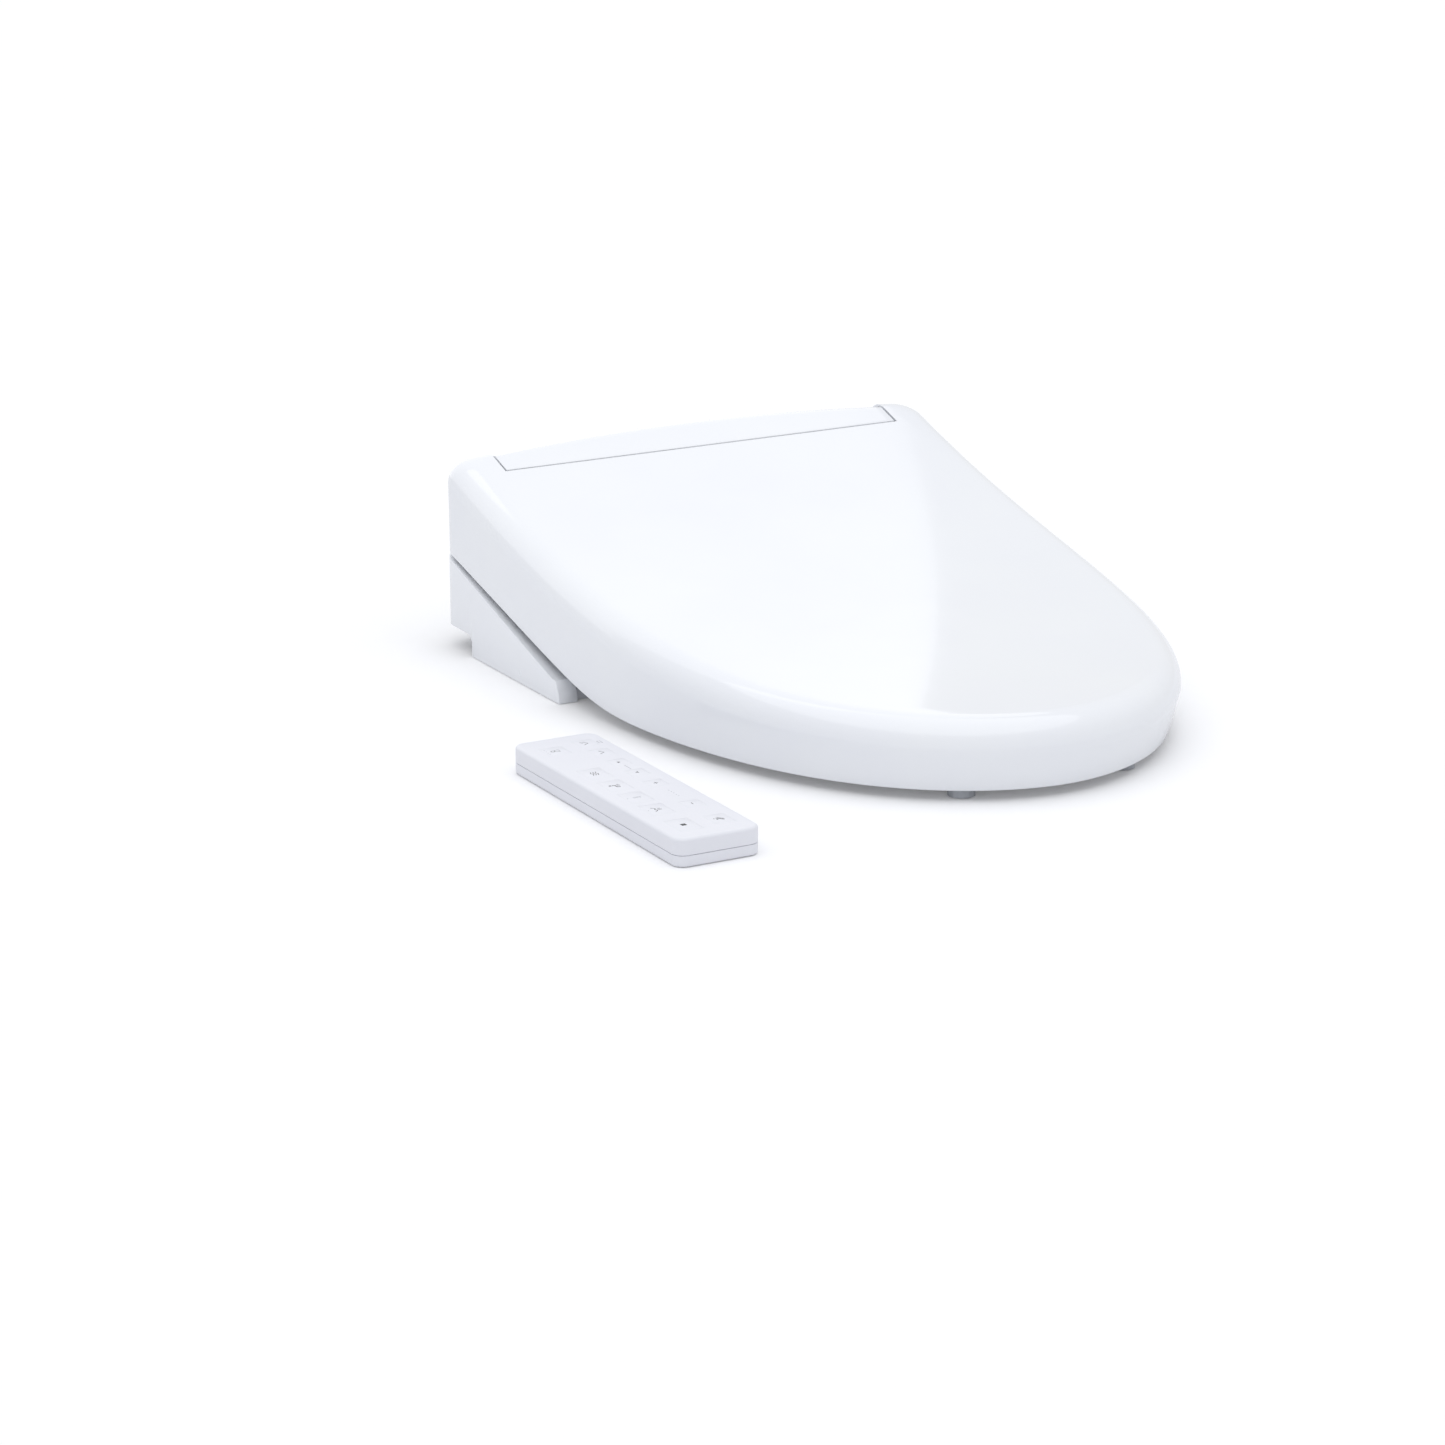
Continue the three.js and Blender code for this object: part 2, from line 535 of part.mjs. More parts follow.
// ---------- seat ----------
function seatOutline() {
  return planOutline({ rear: at(SEAT_REAR - SEAT_INSET), bow: 0, corner: 26, side: 1, front: 24, ease: 2.2 });
}
const seatTopZ = y => {
  const t = Math.min(1, Math.max(0, (depth(y) - SEAT_REAR) / 70));
  return SEAT_REAR_TOP + (SEAT_FRONT_TOP - SEAT_REAR_TOP) * t * t * (3 - 2 * t);
};
// the underside steps up over the wand housing and the arms of the lower casing
const seatBaseZ = y => {
  const t = Math.min(1, Math.max(0, (depth(y) - NOSE_DEPTH - 3) / 46));
  return SEAT_REAR_BASE + (SEAT_BASE - SEAT_REAR_BASE) * t;
};
const holeY = at(HOLE_CENTRE);
function holeRadius(angle, grow) {
  const c = Math.abs(Math.cos(angle)) / (HOLE_WIDTH / 2 + grow);
  const s = Math.abs(Math.sin(angle)) / (HOLE_LENGTH / 2 + grow);
  return 1 / (c ** 2.2 + s ** 2.2) ** (1 / 2.2);
}
function seatSections(cross) {
  const outline = inset(seatOutline(), SEAT_INSET);
  return outline.map(([x, y]) => {
    const angle = Math.atan2(y - holeY, x);
    const r = holeRadius(angle, 0);
    const hx = r * Math.cos(angle);
    const hy = holeY + r * Math.sin(angle);
    const span = Math.hypot(x - hx, y - hy);
    return cross(span).map(([s, z]) => {
      const px = hx + (x - hx) * s / span;
      const py = hy + (y - hy) * s / span;
      return [px, py, typeof z === 'function' ? z(py) : z];
    });
  });
}
// cross sections run from the opening (0) to the outer rim (span)
const over = lift => y => seatBaseZ(y) + lift;
const under = (drop, w = 0) => y => seatTopZ(y) - w - drop;
function seatArm(side, grow) {
  const target = [at(SEAT_REAR + 8), SEAT_REAR_BASE + 14];
  const lean = THREE.MathUtils.radToDeg(Math.atan2(HINGE_Z - target[1], HINGE_Y - target[0]));
  const points = steps(lean + 90, lean - 90, 10).map(a => {
    const t = THREE.MathUtils.degToRad(a);
    return [HINGE_Y + (BOSS_R + grow) * Math.cos(t), HINGE_Z + (BOSS_R + grow) * Math.sin(t)];
  });
  points.push([at(SEAT_REAR - 8), SEAT_REAR_BASE + 3.4 - grow]);
  points.push([at(SEAT_REAR + 1), SEAT_REAR_BASE + 1.2 - grow]);
  points.push([at(SEAT_REAR + 26 + grow), SEAT_REAR_BASE + 1.2 - grow]);
  points.push([at(SEAT_REAR + 26 + grow), SEAT_REAR_BASE + SEAT_TRAY + 1 + grow]);
  points.push([at(SEAT_REAR + 6), SEAT_REAR_TOP - 9 + grow]);
  return prismX(points, ...[ARM_IN - grow, ARM_OUT + grow].map(v => v * side).sort((a, b) => a - b));
}
const EDGE = 11;              // rounding of the seat's top edges
const seatTop = loopBody(seatSections(span => {
  const r = EDGE;
  const arc = (inner, w) => [90, 60, 30, 0].map(a => {
    const t = THREE.MathUtils.degToRad(a);
    const rr = r - w;
    const s = inner ? w + rr - rr * Math.cos(t) : span - w - rr + rr * Math.cos(t);
    return [s, under(rr - rr * Math.sin(t), w)];
  });
  return [
    [0, over(SEAT_TRAY)], ...arc(true, 0).reverse(), [span / 2, under(1)],
    ...arc(false, 0), [span, over(SEAT_TRAY)],
    [span - SEAT_WALL, over(SEAT_TRAY)], ...arc(false, SEAT_WALL).reverse(),
    [span / 2, under(1, SEAT_WALL)], ...arc(true, SEAT_WALL), [SEAT_WALL, over(SEAT_TRAY)],
  ];
}));
place('seat_top_shell', cut(seatTop, seatArm(-1, GAP), seatArm(1, GAP)), LOOK.seat());

const foil = loopBody(seatSections(span => [
  [span - EDGE, under(GAP, SEAT_WALL)], [span / 2, under(1 + GAP, SEAT_WALL)], [EDGE, under(GAP, SEAT_WALL)],
  [EDGE, under(1.1, SEAT_WALL)], [span / 2, under(2.1, SEAT_WALL)], [span - EDGE, under(1.1, SEAT_WALL)],
]));
place('seat_heater_foil', foil, LOOK.foil());

function makeSeatBottom() {
  const rim = SEAT_TRAY - 2 * GAP;
  let body = loopBody(seatSections(span => [
    [1, over(2)], [3, over(0)], [span * 0.3, over(0)],
    [span * 0.6, over(0)], [span - 3, over(0)], [span - 1, over(2)],
    [span - 1, over(rim)], [span - 4, over(rim)], [span - 4, over(3)], [span * 0.6, over(3)],
    [span * 0.3, over(3)], [4, over(3)], [4, over(rim)], [1, over(rim)],
  ]));
  for (const side of [-1, 1]) {
    const pinHole = cylinder('x', [side * (ARM_IN + 5), HINGE_Y, HINGE_Z], PIN_R + RUN, 20);
    body = body.add(seatArm(side, 0)).subtract(pinHole);
  }
  return body;
}
place('seat_bottom_shell', makeSeatBottom(), LOOK.seat());

const FRONT_BUMPER = { x: 60, depth: LENGTH - 41 };
const REAR_BUMPER = { x: HALF - 45.5, depth: 262 };
const bumperSpots = [
  ['front_left', -FRONT_BUMPER.x, FRONT_BUMPER.depth],
  ['front_right', FRONT_BUMPER.x, FRONT_BUMPER.depth],
  ['rear_left', -REAR_BUMPER.x, REAR_BUMPER.depth],
  ['rear_right', REAR_BUMPER.x, REAR_BUMPER.depth],
];
for (const [name, x, d] of bumperSpots) {
  const bumper = cylinder('z', [x, at(d), (SEAT_BASE - GAP) / 2], 9, SEAT_BASE - GAP, 16);
  place(`seat_bumper_${name}`, bumper, LOOK.rubber());
}

// lid bumpers sit under the lid and rest on the seat
const LID_BUMPER = { across: 123, back: 57 };      // each less the rounding of the top edge
for (const [name, side] of [['lid_bumper_left', -1], ['lid_bumper_right', 1]]) {
  const [x, d] = [side * (LID_BUMPER.across - EDGE_R), LENGTH - EDGE_R - LID_BUMPER.back];
  const top = zTop(at(d + 8)) - LID_WALL - GAP * 3;
  const bumper = cylinder('z', [x, at(d), (top + SEAT_FRONT_TOP) / 2], 7, top - SEAT_FRONT_TOP - GAP, 16);
  place(name, bumper, LOOK.rubber());
}

// ---------- spray wand ----------
const wandGroup = new THREE.Group();
wandGroup.position.set(0, at(NOSE_DEPTH), WAND_EXIT_Z);
wandGroup.rotation.x = WAND_PITCH;
model.add(wandGroup);
// inside this group the wand runs along +Y, away from the mouth, with its rack let into its top
const PITCH_R = RACK_MODULE * PINION_TEETH / 2;
const TOOTH_PITCH = Math.PI * RACK_MODULE;
const RACK_Z = WAND_R - 1.2;                       // pitch line above the wand axis
const WAND_START = 14;                             // tip, behind the mouth
const PINION = { y: 62, z: RACK_Z + PITCH_R + 0.1 };
function makeWand() {
  const end = WAND_START + WAND_LENGTH;
  const g = new THREE.CylinderGeometry(WAND_R, WAND_R, WAND_LENGTH, 20);
  g.translate(0, WAND_START + WAND_LENGTH / 2, 0);
  let wand = toManifold(g).subtract(box(-2.9, 2.9, PINION.y - 9, end - 3, RACK_Z - 1, WAND_R + 5));
  const teeth = Math.floor((end - 4 - PINION.y) / TOOTH_PITCH);
  for (let i = -2; i < teeth; i++) {
    const y = PINION.y + (i + 0.5) * TOOTH_PITCH;
    wand = wand.add(prismX([[y - 0.85, RACK_Z - 1.3], [y + 0.85, RACK_Z - 1.3], [y + 0.3, RACK_Z + 0.6],
      [y - 0.3, RACK_Z + 0.6]], -2.9, 2.9));
  }
  return wand;
}
place('spray_wand', makeWand(), LOOK.satin(), wandGroup);
const tipDisc = new THREE.CylinderGeometry(WAND_R + 1, WAND_R + 1, 5, 20);
tipDisc.translate(0, WAND_START - 2.5 - GAP, 0);
place('wand_tip', toManifold(tipDisc), LOOK.gloss(), wandGroup);

function makePinion() {
  let gear = cylinder('x', [0, PINION.y, PINION.z], PITCH_R - 1.1, 5, 24);
  for (let i = 0; i < PINION_TEETH; i++) {
    const a = i * 2 * Math.PI / PINION_TEETH - Math.PI / 2;
    const point = (r, w) => [
      PINION.y + r * Math.cos(a) - w * Math.sin(a), PINION.z + r * Math.sin(a) + w * Math.cos(a)];
    gear = gear.add(prismX([point(PITCH_R - 1.6, 0.8), point(PITCH_R - 1.6, -0.8), point(PITCH_R, -0.5),
      point(PITCH_R + 0.6, -0.2), point(PITCH_R + 0.6, 0.2), point(PITCH_R, 0.5)], -2.5, 2.5));
  }
  return gear.add(cylinder('x', [6, PINION.y, PINION.z], 1.5, 10, 12));
}
place('wand_pinion', makePinion(), LOOK.dark(), wandGroup);
const motor = cut(box(3.2, 22, PINION.y - 9, PINION.y + 9, PINION.z - 4, PINION.z + 12),
  cylinder('x', [6, PINION.y, PINION.z], 1.5 + RUN, 14, 12));
place('wand_motor', motor, LOOK.dark(), wandGroup);
const GUIDE = { y0: 28, y1: WAND_START + WAND_LENGTH, floor: 2.2, side: 2.4, height: 2 };
const guideRoom = WAND_R + 1 + GAP;
wandGroup.updateMatrixWorld();
const guideFoot = slab(-5, 5, 70, 76, RECESS_Z + SHELL + GAP, WAND_EXIT_Z + 23)
  .transform(wandGroup.matrixWorld.clone().invert().elements);
const guide = cut(
  guideFoot.add(box(-guideRoom - GUIDE.side, guideRoom + GUIDE.side, GUIDE.y0 + 10, GUIDE.y1,
    -WAND_R - GAP - GUIDE.floor, GUIDE.height)),
  box(-WAND_R - GAP, WAND_R + GAP, 0, GUIDE.y1 + 9, -WAND_R - GAP, 20));
place('wand_guide', guide, LOOK.inner(), wandGroup);

// ---------- warm-air dryer ----------
const drum = [DRYER.x, at(DRYER.d), DRYER.z0 + DRYER.r];
const DUCT_WALL = 1.6;
function makeDryer() {
  const tubeFront = at(NOSE_DEPTH - SHELL - GAP);
  const [x0, x1] = [DRYER.x - DRYER.width / 2, DRYER.x + DRYER.width / 2];
  const shell = union(cylinder('x', drum, DRYER.r, DRYER.width, 28),
    box(x0, x1, tubeFront, drum[1], DRYER.z0, DRYER.z0 + DRYER.tall));
  const room = union(cylinder('x', drum, DRYER.r - DUCT_WALL, DRYER.width - 2 * DUCT_WALL, 28),
    box(x0 + DUCT_WALL, x1 - DUCT_WALL, tubeFront - 5, drum[1],
      DRYER.z0 + DUCT_WALL, DRYER.z0 + DRYER.tall - DUCT_WALL));
  const intake = cylinder('x', [x0, drum[1], drum[2]], DRYER.r * 0.55, 10, 20);
  return cut(shell, room, intake);
}
place('dryer_housing', makeDryer(), LOOK.inner());
function makeImpeller() {
  const r = DRYER.r - 4;
  let wheel = cylinder('x', [DRYER.x + 7, drum[1], drum[2]], r, 2, 24);
  for (let i = 0; i < 12; i++) {
    const g = new THREE.BoxGeometry(12, 1.4, 5);
    g.translate(0, 0, r - 3);
    g.rotateX(i * Math.PI / 6);
    g.translate(DRYER.x + 0.5, drum[1], drum[2]);
    wheel = wheel.add(toManifold(g));
  }
  const [h0, h1] = [DRYER.x - 6, DRYER.x + DRYER.width / 2 - DUCT_WALL - GAP];
  return wheel.add(cylinder('x', [(h0 + h1) / 2, drum[1], drum[2]], 4, h1 - h0, 16));
}
place('dryer_impeller', makeImpeller(), LOOK.dark());
const flapTop = DRYER.z0 + DRYER.tall - 0.6;
const flap = slab(DRYER.x - DRYER.width / 2 + 0.6, DRYER.x + DRYER.width / 2 - 0.6, NOSE_DEPTH - DRYER.flap,
  NOSE_DEPTH - 0.2, DRYER.z0 + 0.6, flapTop);
place('dryer_flap', flap, LOOK.gloss());

// ---------- water, filter and electrics ----------
const FLOOR = RECESS_Z + SHELL + GAP;
place('water_heater', slab(30, 112, 26, 66, FLOOR, FLOOR + 42), LOOK.inner());
place('circuit_board', slab(36, 140, 74, 112, FLOOR, FLOOR + 1.8), LOOK.board());
place('power_supply', slab(-146, -98, 30, 80, FLOOR, FLOOR + 34), LOOK.dark());
const filterBox = cut(
  slab(-60, -18, 22, 48, FLOOR, FLOOR + 40),
  slab(-56, -22, 26, 44, FLOOR + 4, FLOOR + 60));
place('carbon_filter', filterBox, LOOK.dark());

const inlet = cut(
  union(slab(INLET.x - 14, INLET.x + 14, 40, 66, 0.6, RECESS_Z - GAP),
    cylinder('y', [INLET.x, at(23), INLET.z], INLET.r, 36, 20)),
  cylinder('y', [INLET.x, at(18), INLET.z], INLET.r - 2, 40, 16));
place('inlet_valve', inlet, LOOK.brass());
place('strainer_cap', cylinder('x', [INLET.x - 14 - GAP - 3, at(53), INLET.z], 4.5, 6, 16), LOOK.satin());
const gland = cut(cylinder('y', [CORD.x, at(15), CORD.z], CORD.r, 18, 20),
  cylinder('y', [CORD.x, at(15), CORD.z], CORD.r - 2.5, 24, 16));
place('cord_gland', gland, LOOK.dark());

// ---------- remote control ----------
const remote = new THREE.Group();
remote.position.set(REMOTE.x, REMOTE.y, 0);
remote.rotation.z = Math.PI / 2;
model.add(remote);
// inside this group its length runs along X and its face looks up
function roundedBox(length, width, corner, z0, z1, shiftX = 0) {
  const [hx, hy] = [length / 2, width / 2];
  const points = [];
  for (const [sx, sy, from] of [[1, 1, 0], [-1, 1, 90], [-1, -1, 180], [1, -1, 270]]) {
    for (const a of steps(from, from + 90, 4)) {
      const t = THREE.MathUtils.degToRad(a);
      const x = sx * (hx - corner) + corner * Math.cos(t);
      const y = sy * (hy - corner) + corner * Math.sin(t);
      points.push([shiftX + x, y]);
    }
  }
  return prismZ(points, z0, z1);
}
const FACE_T = 2;
const SPLIT = 7;                                   // parting line of the remote
const keyTop = REMOTE.height;
// keys: name, place along the length, place across, length, width
const ROW = [11.5, -13];
const KEYS = [
  ['key_stop', -86, ROW[0], 22, 15], ['key_rear_wash', -52, ROW[0], 20, 15],
  ['key_soft_wash', -25, ROW[0], 20, 15],
  ['key_front_wash', 2, ROW[0], 20, 15], ['key_dryer', 30, ROW[0], 20, 15], ['key_user', 84, ROW[0], 16, 15],
  ['key_wand_clean', -86, ROW[1], 16, 13], ['key_pressure_less', -52, ROW[1], 12, 12],
  ['key_pressure_more', -5, ROW[1], 12, 12], ['key_wand_back', 20, ROW[1], 12, 12],
  ['key_wand_front', 44, ROW[1], 12, 12], ['key_seat_up', 68, ROW[1], 13, 13],
  ['key_lid_up', 90, ROW[1], 13, 13],
];
function makeFront() {
  const { length, width, corner, height, wall } = REMOTE;
  let front = roundedBox(length, width, corner, SPLIT + GAP, height).subtract(
    roundedBox(length - 2 * wall, width - 2 * wall, corner - wall, 0, height - FACE_T));
  for (const [, x, y, l, w] of KEYS) {
    front = front.subtract(box(x - l / 2 - KEY_GAP, x + l / 2 + KEY_GAP,
      y - w / 2 - KEY_GAP, y + w / 2 + KEY_GAP,
      height - FACE_T - 2, height + 2));
  }
  return front;
}
place('remote_front_cover', makeFront(), LOOK.satin(), remote);
const DOOR = { length: 62, width: 36, x: 40, t: 1.8 };
function makeBack() {
  const { length, width, corner, wall } = REMOTE;
  const shell = roundedBox(length, width, corner, 0, SPLIT).subtract(
    roundedBox(length - 2 * wall, width - 2 * wall, corner - wall, wall, SPLIT + 5));
  const hatch = box(DOOR.x - DOOR.length / 2 - GAP, DOOR.x + DOOR.length / 2 + GAP,
    -DOOR.width / 2 - GAP, DOOR.width / 2 + GAP, -2, wall + 1);
  return shell.subtract(hatch);
}
place('remote_back_cover', makeBack(), LOOK.satin(), remote);
const door = box(DOOR.x - DOOR.length / 2, DOOR.x + DOOR.length / 2,
  -DOOR.width / 2, DOOR.width / 2, 0, DOOR.t);
place('battery_door', door, LOOK.satin(), remote);
for (const [name, y] of [['battery_cell_1', -8], ['battery_cell_2', 8]]) {
  place(name, cylinder('x', [DOOR.x, y, DOOR.t + GAP + 5.25], 5.25, 44.5, 16), LOOK.dark(), remote);
}
for (const [name, x, y, l, w] of KEYS) {
  const key = box(x - l / 2, x + l / 2, y - w / 2, y + w / 2, keyTop - FACE_T - 0.6, keyTop);
  place(name, key, LOOK.satin(), remote);
}

export default model;
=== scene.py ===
# %% [markdown]
# # An electric bidet seat and its remote control
#
# The seat is a stack of moulded shells: a lid, a heated seat, a casing with the works inside, two side
# covers and a strip over the hinges. A remote control lies beside it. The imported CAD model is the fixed
# frame. This file gives each visible shell a finer mesh on the same rules, and every piece its finish.

import bmesh
import bpy
from math import atan, atan2, cos, exp, hypot, log, pi, radians, sin
from mathutils import Matrix, Vector


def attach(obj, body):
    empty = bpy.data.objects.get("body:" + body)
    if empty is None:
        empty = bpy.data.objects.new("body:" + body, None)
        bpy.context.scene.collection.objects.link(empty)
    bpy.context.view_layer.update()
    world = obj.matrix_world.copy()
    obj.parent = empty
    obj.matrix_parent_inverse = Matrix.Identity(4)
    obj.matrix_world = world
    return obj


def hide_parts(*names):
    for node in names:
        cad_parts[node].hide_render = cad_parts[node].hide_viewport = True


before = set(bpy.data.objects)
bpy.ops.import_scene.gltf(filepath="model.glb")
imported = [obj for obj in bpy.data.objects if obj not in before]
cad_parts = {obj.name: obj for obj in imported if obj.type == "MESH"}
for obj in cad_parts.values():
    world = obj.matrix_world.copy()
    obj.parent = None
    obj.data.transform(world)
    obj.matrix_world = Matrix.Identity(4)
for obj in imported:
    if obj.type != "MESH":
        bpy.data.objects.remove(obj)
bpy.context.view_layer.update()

# %% [markdown]
# ## Camera
# A long lens, a little above the lid and to its left, looks down over the front corner. A long lens
# keeps the two long sides of the lid nearly parallel, as in a catalogue view.

# %% Camera
scene = bpy.context.scene
lens_data = bpy.data.cameras.new("catalogue_camera")
lens_data.sensor_width = 36
lens_data.lens = 111.69
camera = bpy.data.objects.new("catalogue_camera", lens_data)
camera.location = (-1.4888, -2.7077, 0.8604)
camera.rotation_euler = (radians(73.1), 0, radians(-29))
scene.collection.objects.link(camera)
scene.camera = camera
scene.view_settings.view_transform = "Standard"
print("camera", lens_data.lens, "mm lens")

# %% [markdown]
# ## Shader arithmetic
# Masks and patterns read better as formulas than as a list of links. `Value` wraps one socket, and its
# operators add Math nodes. Numbers alone are worked out in Python.


# %% A socket with arithmetic
class Value:
    def __init__(self, finish, socket):
        self.finish = finish
        self.socket = socket

    def _sum(self, operation, first, second):
        node = self.finish.node("ShaderNodeMath", {"operation": operation}, {0: first, 1: second})
        return Value(self.finish, node.outputs[0])

    def __add__(self, other):
        return self._sum("ADD", self, other)

    def __radd__(self, other):
        return self._sum("ADD", other, self)

    def __sub__(self, other):
        return self._sum("SUBTRACT", self, other)

    def __rsub__(self, other):
        return self._sum("SUBTRACT", other, self)

    def __mul__(self, other):
        return self._sum("MULTIPLY", self, other)

    def __rmul__(self, other):
        return self._sum("MULTIPLY", other, self)

    def __gt__(self, other):
        return self._sum("GREATER_THAN", self, other)


# %% [markdown]
# ## A finish
# `Finish` holds one material. Its one node-maker takes a node's type, the settings that have to come
# first, and the values or links of its sockets.


# %% A material with one node-maker
def colour(red, green, blue):
    """A screen colour, 0 to 255, as the shader's linear numbers."""
    parts = [v / 255 for v in (red, green, blue)]
    return tuple(v / 12.92 if v <= 0.04045 else ((v + 0.055) / 1.055) ** 2.4 for v in parts) + (1.0,)


class Finish:
    def __init__(self, name, **constants):
        self.material = bpy.data.materials.new(name)
        self.material.use_nodes = True
        self.tree = self.material.node_tree
        self.shader = self.tree.nodes["Principled BSDF"]
        for key, value in constants.items():
            self.shader.inputs[key.replace("_", " ")].default_value = value

    def node(self, kind, settings=None, sockets=None):
        made = self.tree.nodes.new(kind)
        for key, value in (settings or {}).items():
            if key == "stops":
                ramp = made.color_ramp.elements
                for element, (place, tint) in zip(ramp, value):
                    element.position = place
                    element.color = tint
            else:
                setattr(made, key, value)
        for key, value in (sockets or {}).items():
            if isinstance(value, Value):
                self.tree.links.new(value.socket, made.inputs[key])
            else:
                made.inputs[key].default_value = value
        return made

    def place(self):
        return Value(self, self.node("ShaderNodeTexCoord").outputs["Object"])

    def noise(self, scale, detail=2.0, roughness=0.5):
        """Cloudy numbers, 0 to 1; the scale is in patches per metre."""
        sockets = {"Vector": self.place(), "Scale": scale, "Detail": detail, "Roughness": roughness}
        return Value(self, self.node("ShaderNodeTexNoise", {}, sockets).outputs[0])

    def shades(self, mask, dark, light):
        ramp = self.node("ShaderNodeValToRGB", {"stops": [(0.3, dark), (0.7, light)]}, {0: mask})
        self.feed("Base Color", Value(self, ramp.outputs[0]))

    def feed(self, name, value):
        self.tree.links.new(value.socket, self.shader.inputs[name])

    def relief(self, height, depth):
        """Bump whose full height is depth, in metres."""
        sockets = {"Height": height, "Distance": depth, "Strength": 1.0}
        self.feed("Normal", Value(self, self.node("ShaderNodeBump", {}, sockets).outputs[0]))


# %% [markdown]
# ## Moulded plastics
# The outer shells are polished white plastic: near white, faintly blue, with the slow waves that a
# mould leaves, and faint haze where hands polish it. The seat is the same plastic with a softer gloss,
# and the remote is fine-grained satin. The grain is far below a millimetre, so it reads as sheen.


# %% Plastics
def moulded(name, light, dark, rough, grain, grain_depth, haze=0.04, **constants):
    finish = Finish(name, IOR=1.49, **constants)
    finish.shades(finish.noise(9.0, 3.0), dark, light)
    finish.feed("Roughness", rough + haze * finish.noise(34.0, 4.0, 0.6))
    finish.relief(finish.noise(grain, 3.0, 0.55), grain_depth)
    return finish.material


gloss_white = moulded("gloss_white", colour(245, 247, 250), colour(242, 244, 249), 0.07, 60.0, 0.00003,
                      Coat_Weight=0.35, Coat_Roughness=0.04)
seat_white = moulded("seat_white", colour(243, 244, 247), colour(239, 241, 245), 0.22, 420.0, 0.00002)
satin_white = moulded("satin_white", colour(236, 237, 243), colour(232, 233, 240), 0.36, 2600.0, 0.00002)
inner_grey = moulded("inner_grey", colour(206, 208, 213), colour(196, 198, 204), 0.5, 1500.0, 0.00004)
dark_plastic = moulded("dark_plastic", colour(50, 52, 57), colour(40, 42, 46), 0.42, 1800.0, 0.00004)
icon_ink = moulded("icon_ink", colour(38, 39, 46), colour(30, 31, 37), 0.4, 3000.0, 0.000005)
icon_grey = moulded("icon_grey", colour(138, 140, 150), colour(128, 130, 141), 0.4, 3000.0, 0.000005)
print("plastics made")

# %% [markdown]
# ## Rubber, metals and the board
# Bumpers are matt rubber with a dusty bloom. Bolts and pins are turned steel, so their fine lines run
# round the length; the foil is crinkled; the valve is cast brass that has dulled in patches. The board
# is green lacquer over copper tracks, drawn from two sets of stripes.


# %% Rubber, metals and board
def soft_rubber_finish():
    finish = Finish("soft_rubber", IOR=1.5, Specular_IOR_Level=0.3)
    finish.shades(finish.noise(160.0, 5.0), colour(176, 179, 185), colour(194, 197, 202))
    finish.feed("Roughness", 0.68 + 0.2 * finish.noise(300.0))
    finish.relief(finish.noise(1400.0, 4.0), 0.00008)
    return finish.material


def metal(name, dark, light, rough, wear, patches, lines, depth):
    finish = Finish(name, Metallic=1.0)
    mask = finish.noise(patches, 5.0)
    finish.shades(mask, dark, light)
    finish.feed("Roughness", rough + wear * mask)
    finish.relief(finish.noise(lines, 3.0), depth)
    return finish.material


def board_finish():
    finish = Finish("board", IOR=1.5, Coat_Weight=0.5, Coat_Roughness=0.15)
    bands = {"wave_type": "BANDS", "bands_direction": "X", "wave_profile": "SAW"}
    along = finish.node("ShaderNodeTexWave", bands,
                        {"Vector": finish.place(), "Scale": 60.0, "Distortion": 3.0})
    across = finish.node("ShaderNodeTexWave", {**bands, "bands_direction": "Y"},
                         {"Vector": finish.place(), "Scale": 45.0, "Distortion": 2.0})
    tracks = (Value(finish, along.outputs["Fac"]) > 0.8) * (Value(finish, across.outputs["Fac"]) > 0.4)
    finish.shades(tracks, colour(31, 96, 62), colour(46, 124, 84))
    finish.feed("Roughness", 0.35 + 0.15 * tracks)
    finish.relief(tracks, 0.00004)
    return finish.material


soft_rubber = soft_rubber_finish()
steel = metal("steel", colour(176, 178, 182), colour(208, 210, 213), 0.2, 0.14, 120.0, 1600.0, 0.00001)
foil = metal("foil", colour(196, 197, 199), colour(222, 222, 224), 0.26, 0.2, 80.0, 260.0, 0.0003)
brass = metal("brass", colour(168, 132, 66), colour(206, 172, 96), 0.24, 0.22, 140.0, 900.0, 0.00003)
board = board_finish()
print("rubber, metals and board made")

# %% [markdown]
# ## Shape rules of the shell
# The lid's plan is a bowed rear edge, two round corners, straight sides and a front whose curve is a
# little squarer than an ellipse. Its top falls from rear to front in one sagging curve. Lengths are in
# millimetres, as a maker draws them, and become metres when a mesh is made.

# %% Sizes
MM = 0.001
WIDTH, LENGTH, REAR_Y = 383.0, 531.0, 51.0
HALF = WIDTH / 2
REAR_HEIGHT, FRONT_HEIGHT, SAG = 142.6, 54.7, 26.4
SKIRT_REAR, SKIRT_FRONT, SKIRT_SLOPE, SKIRT_BLEND, TAPER = 73.0, 6.7, 0.277, 5.0, 8.0
STRAIGHT_SIDE, REAR_BOW, CORNER_R, EDGE_R, LID_WALL = 127.0, 13.0, 17.0, 19.0, 3.2
PANEL_DEPTH, PANEL_DROP, PANEL_T, SEAM, GAP = 47.2, 10.0, 3.0, 1.5, 0.3
EAR = 35.1
UNIT_HALF = HALF - EAR
print("lid", WIDTH, "by", LENGTH, "mm")

# %% [markdown]
# The rules themselves come next. Heights depend only on how far forward a point lies. The plan is one
# closed list of points, and `inset` draws it in evenly by scaling, which keeps the point count.


# %% Heights and outlines
def at(depth):
    """y of a depth in front of the rear edge."""
    return REAR_Y - depth


def top_height(y):
    t = (REAR_Y - y) / LENGTH
    return REAR_HEIGHT + (FRONT_HEIGHT - REAR_HEIGHT) * t - 4 * SAG * t * (1 - t)


